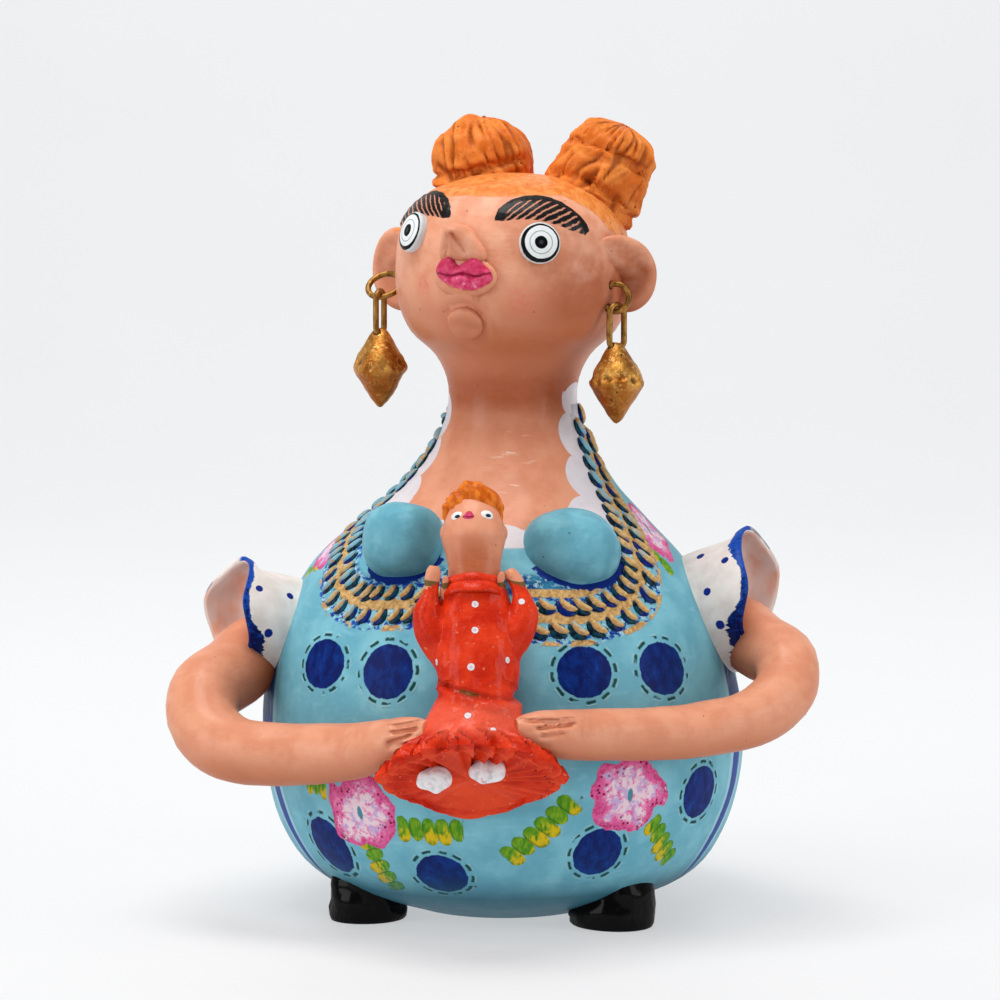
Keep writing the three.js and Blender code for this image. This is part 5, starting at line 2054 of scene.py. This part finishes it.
def paint_bun():
    f = Finish("bun_paint")
    cloud = f.noise(5, 4, seed=4)
    fine = f.noise(1.1, 4, rough=0.65)
    f.colour = f.over(cloud.step(0.32, 0.7), (220, 110, 36), (242, 144, 64))
    f.daub((fine - 0.5).step(0.05, 0.25) * 0.5, (244, 166, 102))
    f.daub((0.5 - fine).step(0.05, 0.25) * 0.5, (178, 80, 22))
    _, _, under = f.marks("edges")
    # Painted shade on the undersides
    f.daub(under.step(0.0, 0.9) * 0.7, (160, 70, 20))
    _, _, comb = f.marks("shade")
    # Painted shade in the combed grooves
    f.daub((comb + (fine - 0.5) * 0.4).step(0.15, 0.95) * 0.75, (142, 60, 14))
    pits = f.cells(2.6, 3).within(0.11, 0.04) * cloud.step(0.45, 0.6)
    f.daub(pits * 0.8, (120, 52, 16))
    height = fine * 0.6 + f.noise(3, 3) * 0.8 - pits * 1.2
    f.finish(0.42 + fine * 0.2, height, depth=0.22, coat=0.07, coat_rough=0.15)


def paint_eye():
    f = Finish("eye_paint")
    u, v, _ = f.marks("eye")
    ripple = f.noise(1.4, 2) - 0.5
    reach = (u * u + v * v) ** 0.5 + ripple * 0.05
    f.colour = f.over(f.noise(2, 3), (222, 228, 230), (246, 248, 248))
    f.daub(abs(reach - 0.55).within(0.02, 0.02) * 0.75, (70, 80, 84))
    f.daub(reach.step(0.86, 0.9) * 0.35, (170, 180, 186))
    ring = abs(reach - 0.87) - 0.072 + (v + u) * 0.022
    f.daub(ring.within(0.0, 0.012), (12, 12, 14))
    f.daub(reach.within(0.31, 0.015), (10, 10, 12))
    f.daub(reach.within(0.1, 0.05) * 0.7, (64, 70, 74))
    f.finish(0.3, ripple, depth=0.1, coat=0.15, coat_rough=0.07)


def paint_child_eye():
    f = Finish("child_eye_paint")
    u, v, _ = f.marks("eye")
    reach = ((u - 0.12) * (u - 0.12) + v * v) ** 0.5
    f.colour = f.over(f.noise(0.8, 2), (230, 236, 238), (250, 250, 250))
    f.daub(reach.within(0.42, 0.06), (30, 42, 46))
    f.finish(0.32, coat=0.12, coat_rough=0.09)


def paint_lip():
    f = Finish("lip_paint")
    fine = f.noise(1.3, 3)
    _, _, seam = f.marks("flush")
    f.colour = f.over(fine.step(0.3, 0.7), (206, 44, 88), (234, 92, 134))
    f.daub((seam + (fine - 0.5) * 0.6).step(0.0, 1.6) * 0.6, (184, 40, 78))
    glint = f.noise(1.5, 2, seed=7).step(0.58, 0.68) * (seam * -1).step(0.4, 1.4)
    f.daub(glint * 0.6, (250, 190, 206))
    f.daub(abs(seam + (fine - 0.5) * 0.4).within(0.3, 0.22) * 0.85, (140, 16, 52))
    f.finish(0.3 + fine * 0.15, fine, depth=0.25, coat=0.13, coat_rough=0.09)


def small_dots(f):
    offset = f.node("ShaderNodeAttribute", {"attribute_name": "small_dot"}, None, "Vector")
    near = f.mark("small_dot_near")
    reach = f.node("ShaderNodeVectorMath", {"operation": "LENGTH"}, {0: offset}, "Value")
    ripple = f.noise(0.8, 2, seed=2) - 0.5
    return (reach + ripple * 0.3).within(1.0, 0.08) * near.within(2.2, 0.05), reach


def paint_sleeve():
    f = Finish("sleeve_paint")
    cloud = f.noise(5, 3)
    fine = f.noise(1.5, 3)
    f.colour = f.over(cloud.step(0.3, 0.7), (232, 221, 214), (247, 239, 233))
    lining = f.mark("lining")
    # Inside the sleeves the white is warmed towards the skin's colour, a painted reflection of the skin
    smear = f.noise(6, 2, stretch=(1, 1, 0.5), seed=3)
    inner = f.over(smear.step(0.35, 0.75), (228, 206, 198), (228, 162, 132))
    f.daub(lining.step(0.4, 0.6), inner)
    dots, _ = small_dots(f)
    f.daub(dots, (20, 44, 136))
    back, up, front = f.marks("rim")
    hairs = f.noise(1.0, 3, rough=0.75, stretch=(0.3, 1, 1))
    right = f.part(0).step(-5, 5)
    wide = up.within(-0.1, 0.2) * 2.0 + up.step(0.55, 0.8) * right * 2.0 + 0.9
    width = wide * front.step(-0.35, -0.05) + (f.noise(5, 2, seed=5) - 0.5) * 1.8
    edge = (back - width - (hairs - 0.5) * (wide * 1.3)).within(0.3, 0.15)
    edge = edge * (front + up * 0.1).step(-0.1, 0.02) * up.step(-0.93, -0.84)
    blue = f.over((up * 0.6 + (hairs - 0.5) * 2.6).step(-0.2, 0.5), (2, 22, 88), (22, 78, 178))
    f.daub(edge, blue)
    thin = (back + (hairs - 0.5) * 1.6).within(0.7, 0.3) * up.step(0.3, 0.5) * smear.step(0.4, 0.5)
    f.daub(thin * (1 - edge) * 0.7, (84, 104, 132))
    _, _, under = f.marks("edges")
    # Painted shade on the undersides
    f.daub(under.step(0.1, 0.9) * 0.5 * (1 - edge), (150, 140, 144))
    height = fine * 0.4 + cloud * 0.5 + edge * 0.3 + dots * 0.3
    f.finish(0.42 + fine * 0.15, height, depth=0.25, coat=0.09, coat_rough=0.12)


def paint_red_dress():
    f = Finish("red_dress_paint")
    cloud = f.noise(5, 3, seed=1)
    fine = f.noise(1.3, 4, rough=0.6)
    f.colour = f.over(cloud.step(0.34, 0.66), (204, 38, 10), (230, 60, 24))
    f.daub((fine - 0.5).step(0.08, 0.28) * 0.3, (238, 98, 66))
    _, fold, waist = f.marks("hem")
    # Painted shade between the teeth of the hem
    f.daub((fold * (fine * 0.5 + 0.8)).math("MINIMUM", 1.0), (128, 14, 6))
    # Painted shade at the waist
    f.daub(waist.step(0.1, 0.4) * 0.5, (150, 24, 10))
    f.daub((waist + (fine - 0.5) * 0.8).step(0.7, 1.0) * 0.9, (112, 66, 24))
    _, _, under = f.marks("edges")
    below = under.step(0.35, 0.6)
    f.daub(below * 0.8, f.over(cloud, (218, 58, 22), (236, 80, 36)))
    dots, reach = small_dots(f)
    pale = f.over(reach.within(0.4, 0.3), (238, 228, 232), (206, 186, 196))
    # Painted highlights, small pale glints
    f.daub(f.noise(1.5, 3, seed=12).step(0.64, 0.74) * 0.45, (255, 156, 128))
    # A lighter band on the upper skirt, painted light where the top light falls
    level = f.part(2)
    f.daub(level.step(53.5, 56.5) * level.step(63, 59) * 0.45, (250, 118, 90))
    f.daub(dots, pale)
    height = (fine * 0.7 + f.noise(2.6, 3) * 1.4) * (1 - below * 0.7) + dots * 0.9
    f.finish(0.28 + fine * 0.2, height, depth=0.3, coat=0.16, coat_rough=0.08, specular=0.08)


def paint_scales():
    f = Finish("scale_gold")
    fine = f.noise(0.9, 4, rough=0.65)
    cloud = f.noise(8, 2, seed=6)
    f.colour = f.over(fine.step(0.35, 0.7), (196, 154, 96), (232, 196, 136))
    away, _, side = f.marks("band")
    left = side.step(-0.6, -0.8) * (cloud + fine - 1).step(-0.1, 0.05)
    inner = side.step(0.76, 0.84) * away.step(0.0, 1.0) * cloud.step(0.42, 0.5)
    blue = (left + inner + cloud.step(0.56, 0.64) * 0.5).math("MINIMUM", 1.0) * fine.step(0.3, 0.45)
    f.daub(blue, (134, 188, 206))
    f.finish(0.4, fine, depth=0.2, coat=0.09, coat_rough=0.12)


def paint_scale_shadows():
    f = Finish("scale_shadow")
    fine = f.noise(1.2, 3)
    f.colour = f.over(fine.step(0.4, 0.6), (4, 18, 34), (14, 66, 84))
    f.daub(f.noise(5, 2, seed=3).step(0.5, 0.6), (10, 34, 112))
    f.finish(0.35, fine, depth=0.1, coat=0.09, coat_rough=0.12)


def paint_shoe():
    f = Finish("shoe_paint")
    fine = f.noise(2.2, 4, rough=0.6)
    f.colour = f.over(fine.step(0.4, 0.75), (4, 3, 3), (16, 12, 11))
    f.finish(0.3 + fine * 0.2, fine, depth=1.0, coat=0.16, coat_rough=0.1, specular=0.02)


def paint_child_hair():
    f = Finish("child_hair_paint")
    fine = f.noise(1.4, 3, stretch=(1, 1, 0.5))
    f.colour = f.over(fine.step(0.35, 0.65), (198, 90, 18), (234, 128, 40))
    f.finish(0.32 + fine * 0.15, fine, depth=0.3, coat=0.12, coat_rough=0.09)


def paint_white():
    f = Finish("white_paint")
    fine = f.noise(2, 3)
    f.colour = f.over(fine.step(0.3, 0.6), (206, 200, 206), (240, 238, 240))
    f.daub(f.noise(1.6, 3, seed=5).step(0.6, 0.7) * 0.6, (226, 120, 110))
    f.finish(0.38, fine, depth=0.4, coat=0.1, coat_rough=0.12)


def paint_gold_wire():
    f = Finish("gold_wire")
    fine = f.noise(1.2, 4, rough=0.65, stretch=(1, 1, 0.35))
    worn = f.noise(4, 3, seed=2)
    f.colour = f.over(fine.step(0.3, 0.7), (124, 84, 36), (190, 142, 74))
    f.daub(worn.step(0.5, 0.66) * 0.7, (84, 54, 22))
    f.send({"Metallic": 0.8}, f.shader)
    return f.finish(0.34 + fine * 0.2, fine, depth=0.03, coat=0.06)


def paint_gold_clay():
    f = Finish("gold_clay")
    fine = f.noise(1.0, 4, rough=0.65)
    cloud = f.noise(5, 3, seed=4)
    f.colour = f.over(cloud.step(0.35, 0.65), (160, 94, 30), (216, 156, 74))
    # Painted highlights
    f.daub((fine - 0.5).step(0.02, 0.2) * 0.75, (250, 212, 136))
    pits = f.cells(1.9, 2).within(0.14, 0.06) * f.noise(4, 2).step(0.5, 0.6)
    dark, low, _ = f.marks("pit")
    # Painted shade on the lower half of the drop
    f.daub(low.step(-9.5, -12.5) * 0.6, (150, 76, 22))
    f.daub(pits * 0.85, (64, 40, 14))
    f.daub((dark + (fine - 0.5) * 0.5).step(0.35, 0.8) * 0.9, (60, 34, 10))
    f.send({"Metallic": 0.7}, f.shader)
    height = fine * 0.8 - pits * 1.6
    return f.finish(0.24 + fine * 0.25, height, depth=0.3, coat=0.05, coat_rough=0.12)


# Earrings

LINK = dict(half_width=2.3, length=11)
# The top of each drop, which way its link faces and the seed of its unevenness
DROPS = {
    "right": dict(top=(28.6, -17.9, 151.2), facing=heading(38), seed=3),
    "left": dict(top=(-30, 0.6, 153.9), facing=heading(66), seed=6),
}
DROP_OUTLINE = [
    (0, 0), (0.9, -0.05), (1.5, -0.4), (2.0, -1.0), (2.6, -1.8), (3.2, -2.9), (3.9, -4.1),
    (4.7, -5.4), (5.5, -6.7), (6.2, -8), (6.7, -9.1), (6.9, -9.8), (6.7, -10.5), (6.0, -11.6),
    (5.2, -12.9), (4.4, -14.3), (3.6, -15.7), (2.8, -17), (2, -18.2), (1.3, -19.1), (0.7, -19.7),
    (0, -20),
]
DROP_TOP = 9.2
DROP_PITS = 13


def make_link(name, place, wire=WIRE_RADIUS):
    """A ring of wire pulled long."""
    half, length = LINK["half_width"], LINK["length"]
    piece = ring_of_wire(name, Matrix.Identity(4), half, wire, 16, 72)
    co = points_of(piece)
    stretch = (length - 2 * half) / 2
    co[:, 1] += np.where(co[:, 1] > 0, stretch, -stretch) * np.where(np.abs(co[:, 1]) > 1e-6, 1, 0)
    co[:, 1] -= length / 2
    turn = np.array(place.to_3x3())
    set_points(piece, co @ turn.T + np.array(place.translation))
    return piece


def make_drop(name, place, seed):
    """A clay drop with a row of pits round its widest part."""
    top = Vector(place["top"]) - Vector((0, 0, DROP_TOP))
    outline = []
    for (r0, z0), (r1, z1) in zip(DROP_OUTLINE, DROP_OUTLINE[1:]):
        outline += [(r0 + (r1 - r0) * k / 3, z0 + (z1 - z0) * k / 3) for k in range(3)]
    outline.append(DROP_OUTLINE[-1])
    drop = turned(name, outline[::-1], 112, Matrix.Translation(top))
    co = points_of(drop)
    push_out(drop, 0.28 * roughness_at(co, 4, seed) + 0.14 * roughness_at(co, 1.5, seed))
    chance = random.Random(seed)
    widths, depths = np.array(DROP_OUTLINE[8:12]).T
    pits = []
    for k in range(DROP_PITS):
        angle = math.tau * (k + chance.uniform(-0.3, 0.3)) / DROP_PITS
        low = chance.uniform(-9.9, -8.0)
        size = float(np.interp(-low, -depths, widths))
        at = top + Vector((size * math.cos(angle), size * math.sin(angle), low))
        pits.append((at, chance.uniform(0.75, 1.2)))
        pressed_dot(drop, *pits[-1], 0.9)
    low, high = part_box(name)
    set_points(drop, np.clip(points_of(drop), np.array(low) / MM, np.array(high) / MM))
    cut_from(drop, make_link(name + "_socket", placed(place["top"], place["facing"]), HOOP_HOLE))
    co = points_of(drop)
    dark = sum(bell(away_from(co, at), size) for at, size in pits)
    write_marks(drop, "pit", np.stack([dark, co[:, 2] - top.z, 0 * dark], -1))
    return drop


SMOOTH_WIRE, SMOOTH_CLAY = 40, 48


def finished(piece, material=None, smooth=SMOOTH_WIRE):
    """Brings a piece to metres and gives it its smooth shading."""
    piece.data.transform(Matrix.Scale(MM, 4))
    if material:
        piece.data.materials.clear()
        piece.data.materials.append(material)
    pick_up(piece)
    bpy.ops.object.shade_smooth_by_angle(angle=math.radians(smooth), keep_sharp_edges=False)
    put_down()
    return piece


def make_earrings(wire, clay):
    for side in ("right", "left"):
        hoop, hung = HOOPS[side], DROPS[side]
        ear = f"{side}_ear"
        hoop_place, link_place = (placed(at, facing) for at, facing in (
            (hoop["at"], hoop["facing"]), (hung["top"], hung["facing"])))
        ring = ring_of_wire(f"{ear}_ring", hoop_place, hoop["radius"], WIRE_RADIUS, 16, 72)
        link = make_link(f"{ear}_wire", link_place)
        drop = make_drop(f"{ear}_drop", hung, hung["seed"])
        pieces = [
            (ring, f"{ear}_hoop", wire, "gold_wire"),
            (link, f"{ear}_link", wire, "gold_wire"),
            (drop, f"{ear}_drop", clay, "gold_clay"),
        ]
        for piece, node, material, slot in pieces:
            piece.name = node + "_piece"
            finished(piece, material)
            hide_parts(node)
            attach(piece, "root")


# Floor and backdrop in one sweep

FLOOR_START, FLOOR_LENGTH, FLOOR_WIDTH = -1.6, 4.4, 5
BEND_START, BEND = 0.9, 0.6
FLOOR_GLOW = (0.985, 0.99, 1, 1)
FLOOR_GLOW_STRENGTH = 0.49


def make_floor():
    put_down()
    bpy.ops.mesh.primitive_grid_add(x_subdivisions=2, y_subdivisions=60, size=1)
    floor = bpy.context.object
    floor.name = "floor"
    co = points_of(floor)
    run = (co[:, 1] + 0.5) * FLOOR_LENGTH + FLOOR_START
    angle = np.clip((run - BEND_START) / BEND, 0, math.pi / 2)
    beyond = np.maximum(0, run - BEND_START - BEND * math.pi / 2)
    y = np.where(run < BEND_START, run, BEND_START + BEND * np.sin(angle))
    z = BEND * (1 - np.cos(angle)) + beyond
    set_points(floor, np.stack([co[:, 0] * FLOOR_WIDTH, y, z], -1))
    bpy.ops.object.shade_smooth()
    f = Finish("floor_paint")
    f.colour = f.over(f.noise(120, 2), (166, 167, 168), (170, 171, 172))
    f.send({"Emission Color": FLOOR_GLOW, "Emission Strength": FLOOR_GLOW_STRENGTH}, f.shader)
    floor.data.materials.append(f.finish(0.6, coat=0.0, coat_rough=0.3, specular=0.2))


stand_camera()
light_studio()
make_floor()
figurine = make_figurine()
mark_paint(figurine)
share_out_finishes(figurine)
for paint in (paint_dress, paint_breast, paint_skin, paint_bun, paint_eye, paint_child_eye, paint_lip,
              paint_sleeve, paint_red_dress, paint_scales, paint_scale_shadows, paint_shoe,
              paint_child_hair, paint_white):
    paint()
finished(figurine, smooth=SMOOTH_CLAY)
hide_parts("figurine")
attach(figurine, "root")
make_earrings(paint_gold_wire(), paint_gold_clay())
